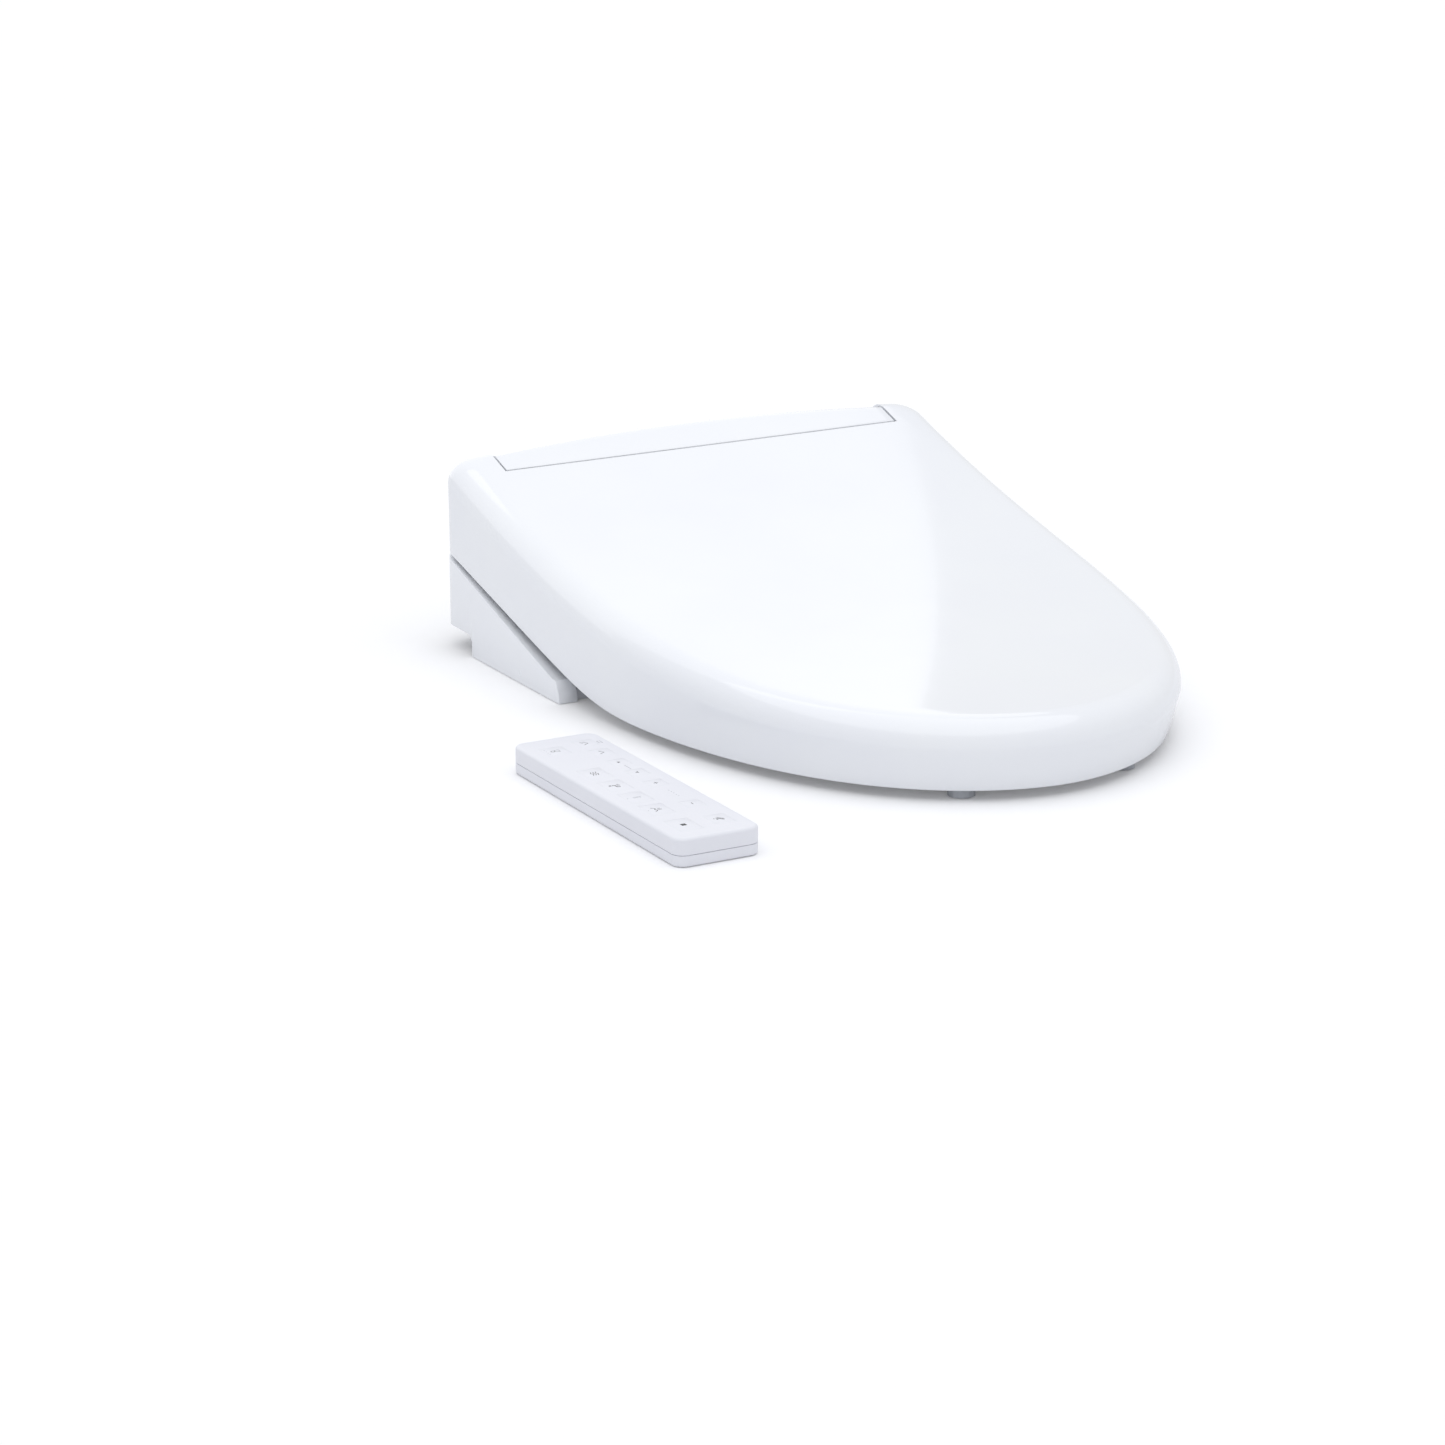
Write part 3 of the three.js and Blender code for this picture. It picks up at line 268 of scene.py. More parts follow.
def skirt_height(y):
    fall = SKIRT_REAR - SKIRT_FRONT - SKIRT_SLOPE * (REAR_Y - y)
    return SKIRT_FRONT + SKIRT_BLEND * log(1 + exp(fall / SKIRT_BLEND))


def rear_edge(x):
    return REAR_Y - REAR_BOW * (x / (HALF - CORNER_R)) ** 2


def plan(rear=REAR_Y, bow=REAR_BOW, corner=CORNER_R, side=24, front=80, ease=1.8, turns=14, back=18):
    middle = HALF - corner
    tilt = atan(2 * bow / middle)
    end_x = middle + corner * sin(tilt)
    centre_y = rear - bow * (end_x / middle) ** 2 - corner * cos(tilt)
    right = [(end_x * i / back, rear - bow * (end_x * i / back / middle) ** 2) for i in range(back)]
    for i in range(turns + 1):
        a = (pi / 2 - tilt) * (1 - i / turns)
        right.append((middle + corner * cos(a), centre_y + corner * sin(a)))
    start = at(STRAIGHT_SIDE)
    if centre_y > start:
        right += [(HALF, centre_y + (start - centre_y) * i / side) for i in range(1, side)]
    for i in range(front + 1):
        s = pi / 2 * (i / front) ** ease
        y = start - (LENGTH - STRAIGHT_SIDE) * sin(s) ** (2 / 3.1)
        if y < centre_y - 1:
            right.append((HALF * max(0.0, cos(s)) ** (2 / 1.9), y))
    right[-1] = (0.0, right[-1][1])
    return right + [(-x, y) for x, y in reversed(right[1:-1])]


def inset(points, distance):
    ys = [y for _, y in points]
    middle, half = (max(ys) + min(ys)) / 2, (max(ys) - min(ys)) / 2
    kx, ky = (HALF - distance) / HALF, (half - distance) / half
    return [(x * kx, middle + (y - middle) * ky) for x, y in points]


# %% [markdown]
# ## From points to pieces
# Rings of equal length make a skin. One flat face closes each end, because a fan of triangles would
# fold over itself on a hollow-backed section. A prism is the same idea with two straight ends.


# %% Meshes from points
def mesh_of(points, faces):
    mesh = bpy.data.meshes.new("part")
    mesh.from_pydata([Vector(p) * MM for p in points], [], faces)
    work = bmesh.new()
    work.from_mesh(mesh)
    bmesh.ops.remove_doubles(work, verts=work.verts, dist=1e-7)
    bmesh.ops.recalc_face_normals(work, faces=work.faces)
    work.to_mesh(mesh)
    work.free()
    return mesh


def skin(rings, closed_ends=True):
    """Rings joined into a body; with closed_ends False the last ring joins the first."""
    count = len(rings[0])
    points = [p for ring in rings for p in ring]
    loops = len(rings) - 1 if closed_ends else len(rings)
    faces = []
    for k in range(loops):
        low, high = k * count, (k + 1) % len(rings) * count
        for i in range(count):
            j = (i + 1) % count
            faces.append((low + i, low + j, high + j, high + i))
    if closed_ends:
        end = (len(rings) - 1) * count
        faces += [tuple(range(count)), tuple(range(end, end + count))]
    return mesh_of(points, faces)


def prism(outline, low, high, axis):
    """An outline run along x (outline in y, z) or along z (outline in x, y)."""
    count = len(outline)
    lift = (lambda p, h: (h, *p)) if axis == "x" else (lambda p, h: (*p, h))
    points = [lift(p, h) for h in (low, high) for p in outline]
    faces = [tuple(range(count)), tuple(range(count, 2 * count))]
    faces += [(i, (i + 1) % count, count + (i + 1) % count, count + i) for i in range(count)]
    return mesh_of(points, faces)


def block(x0, x1, y0, y1, z0, z1):
    return prism([(x0, y0), (x1, y0), (x1, y1), (x0, y1)], z0, z1, "z")


# %% [markdown]
# Cuts use the exact Boolean, which keeps a closed body closed. A bevel breaks sharp edges, as a mould
# must. It goes on before a cut where it can, since a bevel on a cut mesh leaves slivers.


# %% Cuts, merges and edges
def cut(mesh, tools, operation="DIFFERENCE"):
    holder = bpy.data.objects.new("work", mesh)
    scene.collection.objects.link(holder)
    helpers = []
    for tool in tools:
        helper = bpy.data.objects.new("tool", tool)
        scene.collection.objects.link(helper)
        helpers.append(helper)
        step = holder.modifiers.new("cut", "BOOLEAN")
        step.operation, step.solver, step.object = operation, "EXACT", helper
    result = settled(holder)
    for helper in helpers:
        bpy.data.objects.remove(helper)
    bpy.data.objects.remove(holder)
    return result


def settled(obj):
    """The mesh of an object with its modifiers carried out."""
    graph = bpy.context.evaluated_depsgraph_get()
    return bpy.data.meshes.new_from_object(obj.evaluated_get(graph))


def merged(*meshes):
    work = bmesh.new()
    for mesh in meshes:
        work.from_mesh(mesh)
    result = bpy.data.meshes.new("part")
    work.to_mesh(result)
    work.free()
    return result


def edged(mesh, size):
    """The mesh with its sharp edges rounded off by size, in millimetres."""
    holder = bpy.data.objects.new("work", mesh)
    scene.collection.objects.link(holder)
    bevel = holder.modifiers.new("edge", "BEVEL")
    bevel.width, bevel.segments, bevel.limit_method = size * MM, 3, "ANGLE"
    bevel.angle_limit = radians(50)
    result = settled(holder)
    bpy.data.objects.remove(holder)
    return result


# %% [markdown]
# Every visible piece goes through one function, so its body and CAD nodes are always stated.


# %% A finished piece
def piece(name, mesh, finish, slot, body, *nodes, edge=0.0, sharp=38):
    """Adds a mesh as a finished piece that rides on a body and stands for the CAD nodes named."""
    if edge:
        mesh = edged(mesh, edge)
    mesh.materials.clear()
    mesh.materials.append(finish)
    mesh.shade_smooth()
    mesh.set_sharp_from_angle(angle=radians(sharp))
    made = bpy.data.objects.new(name, mesh)
    scene.collection.objects.link(made)
    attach(made, body)
    if nodes:
        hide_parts(*nodes)
    print(name, len(mesh.polygons), "faces")
    return made


# %% [markdown]
# ## Lid
# The lid is one shell: a fine net over the falling top, a 19 mm rounding all round, and a skirt that
# leans in as it goes forward. Rings follow the plan inwards and outwards, and the same rings drawn in
# by the wall make the inside. The notch for the strip and the room round the hinges are then cut out.


# %% Lid rings
NET, LIP_R = 24, 1.1


def lid_rings(wall, turns):
    outline = plan()
    rounding = EDGE_R - wall
    rim = inset(outline, EDGE_R)
    centre_y = sum(y for _, y in rim) / len(rim)
    rings = []
    for i in range(1, NET):
        k = i / NET
        flat = [(x * k, centre_y + (y - centre_y) * k) for x, y in rim]
        rings.append([(x, y, top_height(y) - wall) for x, y in flat])
    for i in range(turns + 1):
        a = pi / 2 * (1 - i / turns)
        flat = inset(outline, wall + rounding * (1 - cos(a)))
        rings.append([(x, y, top_height(y) - wall - rounding * (1 - sin(a))) for x, y in flat])
    upper = rings[-1]
    lean = [TAPER * max(0.0, min(1.0, (REAR_Y - y) / LENGTH)) for _, y in outline]
    lower = []
    for i, (_, y) in enumerate(inset(outline, wall)):
        x_low, y_low = inset(outline, wall + lean[i])[i]
        lower.append((x_low, y_low, skirt_height(y)))
    for k in (0.2, 0.4, 0.6, 0.8):
        rings.append([tuple(Vector(a).lerp(Vector(b), k)) for a, b in zip(upper, lower)])
    pull = 1 if wall == 0 else -1
    for a in (0, 30, 60, 90):
        back = LIP_R * (1 - cos(radians(a))) * pull
        shrink = (HALF - back) / HALF
        rise = LIP_R * (1 - sin(radians(a)))
        rings.append([(x * shrink, centre_y + (y - centre_y) * shrink, z + rise) for x, y, z in lower])
    return rings


# %% [markdown]
# The outer and inner rings join into one closed skin. The notch is a prism across the width, and two
# blocks clear the room where the ears stand beside the unit.

# %% Lid shell
lid_skin = skin(lid_rings(0.0, 14) + lid_rings(LID_WALL, 8)[::-1])
LIP = PANEL_DEPTH + SEAM
lip_z = top_height(at(LIP))
notch = prism([(at(-20), -5), (at(-20), 200), (at(LIP), 200), (at(LIP), lip_z),
               (at(LIP + 3.4), lip_z - LID_WALL - 1.4), (at(LIP + 3.4), -5)],
              -UNIT_HALF - SEAM, UNIT_HALF + SEAM, "x")
HINGE_Y, HINGE_Z = 28.0, 105.017
ears = [block(*sorted((side * (UNIT_HALF - 5), side * (HALF - 8.5))), at(CORNER_R + 3), at(-5),
              -5, HINGE_Z + 19) for side in (-1, 1)]
lid_mesh = cut(lid_skin, [notch, *ears])
print("lid shell", len(lid_mesh.polygons), "faces")


# %% [markdown]
# Two cheeks hang from the lid beside the unit and turn on the hinge pins. Each is a plate with a round
# lower end about the pin.


# %% Lid cheeks
CHEEK_T, CHEEK_R, BORE_R = 3.4, 7.6, 3.8


def cheek(side):
    outline = [(HINGE_Y + CHEEK_R * cos(radians(a)), HINGE_Z + CHEEK_R * sin(radians(a)))
               for a in range(-180, 1, 9)]
    start = REAR_Y - rear_edge(UNIT_HALF) + EDGE_R
    for depth in (15.4, 23.0, 36.0, LIP + 16):
        fall = EDGE_R - (EDGE_R ** 2 - max(0.0, start - depth) ** 2) ** 0.5
        outline.append((at(depth), top_height(at(depth)) - fall - LID_WALL * 0.6))
    low, high = sorted((side * (UNIT_HALF + SEAM), side * (UNIT_HALF + SEAM + CHEEK_T)))
    ring = [(HINGE_Y + BORE_R * cos(radians(a)), HINGE_Z + BORE_R * sin(radians(a)))
            for a in range(0, 360, 12)]
    hole = prism(ring, low - 2, high + 2, "x")
    return cut(prism(outline, low, high, "x"), [hole])


piece("lid", merged(lid_mesh, cheek(-1), cheek(1)), gloss_white, "gloss_white", "lid", "lid_shell")


# %% [markdown]
# ## Rear strip
# A fixed strip fills the lid's notch over the hinges, so the lid can swing up past it. Its section runs
# level with the lid's top, rounds over the rear edge and drops a little way down the back.


# %% Rear strip
def strip_section(x, wall):
    edge_y = rear_edge(x) - wall
    r = EDGE_R - wall
    centre_z = top_height(rear_edge(x) - EDGE_R) - EDGE_R
    points = []
    for i in range(7):
        y = at(PANEL_DEPTH) + (edge_y - r - at(PANEL_DEPTH)) * i / 7
        points.append((x, y, top_height(y) - wall))
    for i in range(15):
        a = pi / 2 * (1 - i / 14)
        points.append((x, edge_y - r + r * cos(a), centre_z + r * sin(a)))
    points.append((x, edge_y, centre_z - PANEL_DROP))
    return points


strip_rings = []
for i in range(61):
    x = -UNIT_HALF + 2 * UNIT_HALF * i / 60
    strip_rings.append(strip_section(x, 0.0) + strip_section(x, PANEL_T)[::-1])
piece("rear_strip", skin(strip_rings), gloss_white, "gloss_white", "unit", "rear_top_panel",
      edge=0.5)

# %% [markdown]
# ## Side covers
# Each cover is a thin shell with a long sloping top edge that runs parallel to the lid's lower edge.
# The outline of the side is run inwards, trimmed by the plan and hollowed. A 0.9 mm edge catches light.

# %% Side covers
COVER_TOP, COVER_SLOPE, STEP_Z, STEP, FRONT = 70.7, 0.305, 15.0, 60.0, 192.3
COVER_SPREAD, COVER_WALL, PAST = 14.2, 3, 5


def cover_outline(d):
    def line(depth):
        return COVER_TOP - COVER_SLOPE * depth

    knee, rear = FRONT - 3, -8 if d else 12
    points = [(at(STEP + d), -5 if d else 0), (at(FRONT - d), -5 if d else 0),
              (at(FRONT - 0.6 - d), 6 - d * 0.4), (at(knee - 2 - d), line(knee - 2) - d + 1.5),
              (at(knee - 8 - d), line(knee - 8) - d), (at(22), line(22) - d), (at(rear), line(12) - d - 1),
              (at(rear), -5 if d else STEP_Z + 6)]
    if not d:
        points += [(at(18), STEP_Z), (at(STEP - 4), STEP_Z), (at(STEP), STEP_Z - 4)]
    return points


for side, hand in ((-1, "left"), (1, "right")):
    outer = prism(cover_outline(0), *sorted((side * (HALF - COVER_SPREAD), side * (HALF + PAST))), "x")
    outer = cut(outer, [prism(plan(), -10, 160, "z")], "INTERSECT")
    pocket = prism(cover_outline(COVER_WALL), *sorted((0.0, side * (HALF + PAST))), "x")
    pocket = cut(pocket, [prism(inset(plan(), COVER_WALL), -10, 160, "z")], "INTERSECT")
    tools = [pocket]
    if side > 0:
        tools.append(block(HALF - 20, HALF + PAST, at(166 + GAP), at(150 - GAP), 6.5 - GAP, 12.5 + GAP))
    piece(f"side_cover_{hand}_shell", cut(outer, tools), gloss_white, "gloss_white", "unit",
          f"side_cover_{hand}", edge=0.9)

# %% [markdown]
# The gap round the strip shows as one dark line: a dark grey strip 3.4 mm down in it is painted shade,
# standing in for the shadow deep in the gap. It follows the strip's front edge and its two ends.

# %% Painted shade under the gap
# Dark grey colour painted as the shade down in the gap round the strip.
dark_seal = moulded("dark_seal", colour(70, 72, 78), colour(60, 62, 67), 0.75, 1200.0, 0.00005)


GAP_SHADE_TOP, GAP_SHADE_FOOT = 3.4, 4.9


def gap_shade_section(x):
    front = [(x, at(49.2), top_height(at(49.2)) - drop) for drop in (GAP_SHADE_FOOT, GAP_SHADE_TOP)]
    upper = [p for p in strip_section(x, GAP_SHADE_TOP) if p[1] > at(47)]
    lower = [p for p in strip_section(x, 4.6) if p[1] > at(47)]
    return front + upper + lower[::-1]


def gap_shade_front(x):
    return [(x, at(depth), top_height(at(depth)) - drop)
            for depth, drop in ((49.3, GAP_SHADE_FOOT), (49.3, GAP_SHADE_TOP), (46.4, GAP_SHADE_TOP),
                                (46.4, GAP_SHADE_FOOT))]


gap_shade_parts = [skin([gap_shade_front(-157.6 + 315.2 * i / 40) for i in range(41)])]
for side in (-1, 1):
    gap_shade_parts.append(skin([gap_shade_section(side * x) for x in (155.8, 156.8, 157.7)]))
# The dark strip is painted shade in the gap, not a working part.
piece("strip_seal", merged(*gap_shade_parts), dark_seal, "soft_rubber", "unit")

# %% [markdown]
# A small moulded ring stands 0.25 mm proud near the front foot of each side cover. It marks where the
# cover's snap sits behind the wall, and it is made by turning a low dome section about its own axis.

# %% Snap marks
DOME = ((2.3, 0.0), (2.2, 0.2), (1.9, 0.25), (1.6, 0.2), (1.5, 0.0), (1.5, -0.8), (2.3, -0.8))
for side, hand in ((-1, "left"), (1, "right")):
    turned = []
    for i in range(24):
        a = 2 * pi * i / 24
        turned.append([(side * (HALF - 0.05 + out), at(134) + r * cos(a), 7.0 + r * sin(a))
                       for r, out in DOME])
    piece(f"snap_mark_{hand}", skin(turned, closed_ends=False), gloss_white, "gloss_white", "unit")

# %% [markdown]
# ## Seat
# The seat is a ring of one changing section: level and thin at the front, thicker at the back, where it
# climbs over the wand housing. Each section runs from the opening to the rim along a line from the
# middle of the opening, so the crown follows both edges. The arms' room is cut out at the back.

# %% Seat heights and opening
SEAT_REAR, SEAT_INSET, SEAT_WALL, SEAT_TRAY, ROUND = 121.5, 12.5, 2.8, 7.0, 11.0
HOLE_Y, HOLE_ACROSS, HOLE_ALONG, HOLE_POWER = at(302), 104.0, 136.0, 2.2


def seat_top_height(y):
    t = min(1.0, max(0.0, (REAR_Y - y - SEAT_REAR) / 70))
    return 66 - 25 * t * t * (3 - 2 * t)


def seat_base_height(y):
    t = min(1.0, max(0.0, (REAR_Y - y - 153) / 46))
    return 36.5 - 28.5 * t


def opening(x, y):
    """The opening's edge towards a point of the rim, and the width of the ring between them."""
    angle = atan2(y - HOLE_Y, x)
    reach = (abs(cos(angle)) / HOLE_ACROSS) ** HOLE_POWER + (abs(sin(angle)) / HOLE_ALONG) ** HOLE_POWER
    reach = 1 / reach ** (1 / HOLE_POWER)
    hole_x, hole_y = reach * cos(angle), HOLE_Y + reach * sin(angle)
    return hole_x, hole_y, hypot(x - hole_x, y - hole_y)


# %% [markdown]
# One section holds the whole ring: up the inner wall, over the crown, down the outer wall, and back
# along the inside at one wall's depth.


# %% Seat section
def seat_section(x, y):
    hole_x, hole_y, span = opening(x, y)

    def point(s, height):
        px, py = hole_x + (x - hole_x) * s / span, hole_y + (y - hole_y) * s / span
        return (px, py, height(py))

    def arc(inner, wall):
        r = ROUND - wall
        run = []
        for i in range(9):
            a = pi / 2 * (1 - i / 8)
            s = wall + r * (1 - cos(a)) if inner else span - wall - r * (1 - cos(a))
            run.append(point(s, lambda py, a=a: seat_top_height(py) - wall - r * (1 - sin(a))))
        return run

    def tray(py):
        return seat_base_height(py) + SEAT_TRAY

    def crown(wall):
        middle = []
        for i in range(1, 8):
            k = i / 8
            s = ROUND + (span - 2 * ROUND) * k
            middle.append(point(s, lambda py, k=k: seat_top_height(py) - wall - 4 * k * (1 - k)))
        return middle

    outside = [point(0, tray)] + arc(True, 0)[::-1] + crown(0) + arc(False, 0) + [point(span, tray)]
    inside = [point(span - SEAT_WALL, tray)] + arc(False, SEAT_WALL)[::-1] + crown(SEAT_WALL)[::-1]
    return outside + inside + arc(True, SEAT_WALL) + [point(SEAT_WALL, tray)]


# %% [markdown]
# An arm of the CAD seat reaches back to each hinge. The fine shell is cut clear of both arms by one gap.


# %% Room for the arms
ARM_IN, ARM_OUT = UNIT_HALF + SEAM + 4.4, UNIT_HALF + SEAM + 14.4


def arm_room(side):
    reach = 6.8 + GAP
    lean = atan2(HINGE_Z - 50.5, HINGE_Y - at(129.5))
    outline = []
    for i in range(21):
        a = lean + pi / 2 - pi * i / 20
        outline.append((HINGE_Y + reach * cos(a), HINGE_Z + reach * sin(a)))
    outline += [(at(113.5), 39.9 - GAP), (at(122.5), 37.7 - GAP), (at(147.5 + GAP), 37.7 - GAP),
                (at(147.5 + GAP), 44.5 + GAP), (at(127.5), 57 + GAP)]
    return prism(outline, *sorted((side * (ARM_IN - GAP), side * (ARM_OUT + GAP))), "x")


# %% [markdown]
# The rim is the lid's own plan drawn in, so the seat stays parallel to the lid that covers it.

# %% Seat shell
seat_edge = inset(plan(rear=at(SEAT_REAR - SEAT_INSET), bow=0.0, corner=26.0, side=1, front=70, ease=2.2,
                       turns=12, back=26), SEAT_INSET)
seat_skin = skin([seat_section(x, y) for x, y in seat_edge], closed_ends=False)
seat_mesh = cut(seat_skin, [arm_room(-1), arm_room(1)])
piece("seat_top", seat_mesh, seat_white, "seat_white", "seat", "seat_top_shell")

# %% [markdown]
# The heater is a foil glued under the crown. It follows the same surface, 0.3 mm below the shell's
# inside, so it is made from the same section rule and never shows through.


# %% Heater foil
def foil_section(x, y):
    hole_x, hole_y, span = opening(x, y)
    upper, lower = [], []
    for i in range(9):
        k = i / 8
        s = ROUND + (span - 2 * ROUND) * k
        px, py = hole_x + (x - hole_x) * s / span, hole_y + (y - hole_y) * s / span
        height = seat_top_height(py) - SEAT_WALL - 4 * k * (1 - k)
        upper.append((px, py, height - 0.3))
        lower.append((px, py, height - 0.7))
    return upper + lower[::-1]


foil_mesh = skin([foil_section(x, y) for x, y in seat_edge], closed_ends=False)
piece("heater_foil", foil_mesh, foil, "foil", "seat", "seat_heater_foil")

# %% [markdown]
# ## Upper casing
# The casing covers the works from the strip to a rounded front edge. Its section changes only at the
# bowed back, so it is run across the width and hollowed. The hinge bores and the wand's passage go
# through it.


# %% Casing section
UNIT_DEPTH, LID_ROOM, CASE_WALL, CASE_R = 118.0, 5.0, 2.8, 8


def casing_section(x, wall):
    front, low = UNIT_DEPTH - wall, 29.0 if wall else 30.3
    level = LID_ROOM + wall
    points = [(x, at(front), low)]
    for i in range(9):
        a = pi / 2 * i / 8
        y = at(front - CASE_R) - CASE_R * cos(a)
        points.append((x, y, top_height(y) - level - CASE_R * (1 - sin(a))))
    for depth in (95, 80, 70, 59.2):
        points.append((x, at(depth), top_height(at(depth)) - level))
    points.append((x, at(49.2 + wall), top_height(at(49.2)) - level))
    rear = strip_section(x, 3.3 + wall)
    back_y, shoulder = rear_edge(x) - wall - GAP, rear[-1][2] - 1.1
    return points + rear[:-1] + [(x, rear[-1][1], shoulder), (x, back_y, shoulder), (x, back_y, low)]


def circle(radius, y=0.0, z=0.0):
    return [(y + radius * cos(radians(a)), z + radius * sin(radians(a))) for a in range(0, 360, 10)]


# %% [markdown]
# The outside gets its broken edges before anything is cut from it. The passage leans with the wand.

# %% Upper casing shell
outer = skin([casing_section(-UNIT_HALF + 2 * UNIT_HALF * i / 40, 0.0) for i in range(41)])
room = UNIT_HALF - CASE_WALL
inner = skin([casing_section(-room + 2 * room * i / 30, CASE_WALL) for i in range(31)])
bore = prism(circle(BORE_R, HINGE_Y, HINGE_Z), -UNIT_HALF - 5, UNIT_HALF + 5, "x")
passage = prism(circle(8.5), -50, 50, "z")
passage.transform(Matrix.Translation((0, at(150) * MM, 0.013)) @ Matrix.Rotation(radians(-68), 4, "X"))
piece("upper_casing_shell", cut(edged(outer, 0.6), [inner, bore, passage]), gloss_white, "gloss_white",
      "unit", "upper_casing")

# %% [markdown]
# ## Remote control
# A slim satin bar, 222 by 58 mm. Its face is one plain sheet, and the keys lie flush in it, so only
# their pictograms show. It is made along its own length and then turned to lie beside the seat.

# %% Remote outline
REMOTE_LENGTH, REMOTE_WIDTH, REMOTE_HEIGHT, REMOTE_CORNER = 222.0, 58.5, 18.0, 8.0
LIE = Matrix.Translation((-0.256, -0.370, 0)) @ Matrix.Rotation(pi / 2, 4, "Z")


def bar_ring(drawn_in, z):
    hx, hy = REMOTE_LENGTH / 2 - drawn_in, REMOTE_WIDTH / 2 - drawn_in
    r = max(1.0, REMOTE_CORNER - drawn_in)
    ring = []
    for sx, sy, start in ((1, 1, 0), (-1, 1, 90), (-1, -1, 180), (1, -1, 270)):
        for i in range(13):
            a = radians(start + 90 * i / 12)
            ring.append((sx * (hx - r) + r * cos(a), sy * (hy - r) + r * sin(a), z))
    return ring


def lying(mesh):
    mesh.transform(LIE)
    return mesh


# %% [markdown]
# Each key is its middle and its size, so the windows, the keys and their signs all read one table.

# %% Key table
KEYS = {
    "stop": (-86, 11.5, 22, 15), "rear_wash": (-52, 11.5, 20, 15), "soft_wash": (-25, 11.5, 20, 15),
    "front_wash": (2, 11.5, 20, 15), "dryer": (30, 11.5, 20, 15), "user": (84, 11.5, 16, 15),
    "wand_clean": (-86, -13, 16, 13), "pressure_less": (-52, -13, 12, 12),
    "pressure_more": (-5, -13, 12, 12), "wand_back": (20, -13, 12, 12), "wand_front": (44, -13, 12, 12),
    "seat_up": (68, -13, 13, 13), "lid_up": (90, -13, 13, 13),
}


def key_block(x, y, length, width, grow, z0, z1):
    hx, hy = length / 2 + grow, width / 2 + grow
    return block(x - hx, x + hx, y - hy, y + hy, z0, z1)


# %% [markdown]
# The face and the base are two stacks of rings that meet at a fine groove.

# %% Remote covers
FACE_R, BASE_R = 2.0, 1.4
HATCH_X, HATCH_HALF_LENGTH, HATCH_HALF_WIDTH = 40, 31.3, 18.3
face = [bar_ring(2, 16), bar_ring(2, 7.3), bar_ring(0.3, 7.3), bar_ring(0, 7.6)]
for i in range(9):
    a = pi / 2 * i / 8
    face.append(bar_ring(FACE_R * (1 - cos(a)), REMOTE_HEIGHT - FACE_R + FACE_R * sin(a)))
windows = [key_block(*size, 0.35, 14, 20) for size in KEYS.values()]
piece("remote_face", lying(cut(skin(face), windows)), satin_white, "satin_white", "remote",
      "remote_front_cover")
base = [bar_ring(2, 2), bar_ring(2, 7), bar_ring(0.3, 7), bar_ring(0, 6.7)]
for i in range(7):
    a = pi / 2 * i / 6
    base.append(bar_ring(BASE_R * (1 - cos(a)), BASE_R - BASE_R * sin(a)))
hatch = block(HATCH_X - HATCH_HALF_LENGTH, HATCH_X + HATCH_HALF_LENGTH, -HATCH_HALF_WIDTH,
              HATCH_HALF_WIDTH, -2, 3)
piece("remote_base", lying(cut(skin(base), [hatch])), satin_white, "satin_white", "remote",
      "remote_back_cover")

# %% [markdown]
# Keys sit in their windows with a hair of room all round and a tiny broken edge.

# %% Keys
for name, size in KEYS.items():
    piece(f"{name}_key", lying(key_block(*size, 0.28, 15.4, 18)), satin_white, "satin_white",
          f"key_{name}", f"key_{name}", edge=0.08)

# %% [markdown]
# ## Pictograms
# Printed marks are thin ink: strokes of one width, drawn as ribbons a few hundredths of a millimetre
# thick, and small solid shapes. They are generic signs, each drawn round the middle of its key.

# %% Strokes and solids
INK_LOW, INK_HIGH = 17.97, 18.03


def stroke(points, width=0.42, closed=False):
    count = len(points)
    sections = []
    for i, (x, y) in enumerate(points):
        before = points[(i - 1) % count] if closed or i > 0 else points[i]
        after = points[(i + 1) % count] if closed or i + 1 < count else points[i]
        along = Vector((after[0] - before[0], after[1] - before[1])).normalized()
        nx, ny = -along.y * width / 2, along.x * width / 2
        sections.append([(x + nx, y + ny, INK_LOW), (x + nx, y + ny, INK_HIGH),
                         (x - nx, y - ny, INK_HIGH), (x - nx, y - ny, INK_LOW)])
    return skin(sections, closed_ends=not closed)


def solid(points):
    return prism(points, INK_LOW, INK_HIGH, "z")


def disc(x, y, radius):
    return solid([(x + radius * cos(radians(a)), y + radius * sin(radians(a))) for a in range(0, 360, 20)])


def bow(x, y, radius, start, end):
    return [(x + radius * cos(radians(start + (end - start) * i / 14)),
             y + radius * sin(radians(start + (end - start) * i / 14))) for i in range(15)]


# %% [markdown]
# A few shapes come back in several signs: the line of a seated body, a fan of water, a spark.


# %% Shared shapes
def seat_line(width, height):
    curve = []
    for i in range(25):
        t = i / 12 - 1
        curve.append((width * t, height * (abs(t) ** 3 + 0.55 * exp(-(4 * t) ** 2))))
    return stroke(curve, 0.5)


def spray(x, top, length):
    fan = [stroke([(x, top), (x, top - length)], 0.32)]
    for way in (-1, 1):
        fan.append(stroke([(x + way * 0.9, top - 0.1), (x + way * 1.5, top - length * 0.8)], 0.32))
    return fan


def star(x, y, size):
    points = []
    for i in range(8):
        reach = size if i % 2 == 0 else size * 0.3
        points.append((x + reach * cos(pi * i / 4), y + reach * sin(pi * i / 4)))
    return solid(points)


# %% [markdown]
# The signs are listed in the order of the keys: each gives a key's name, an ink and its marks.


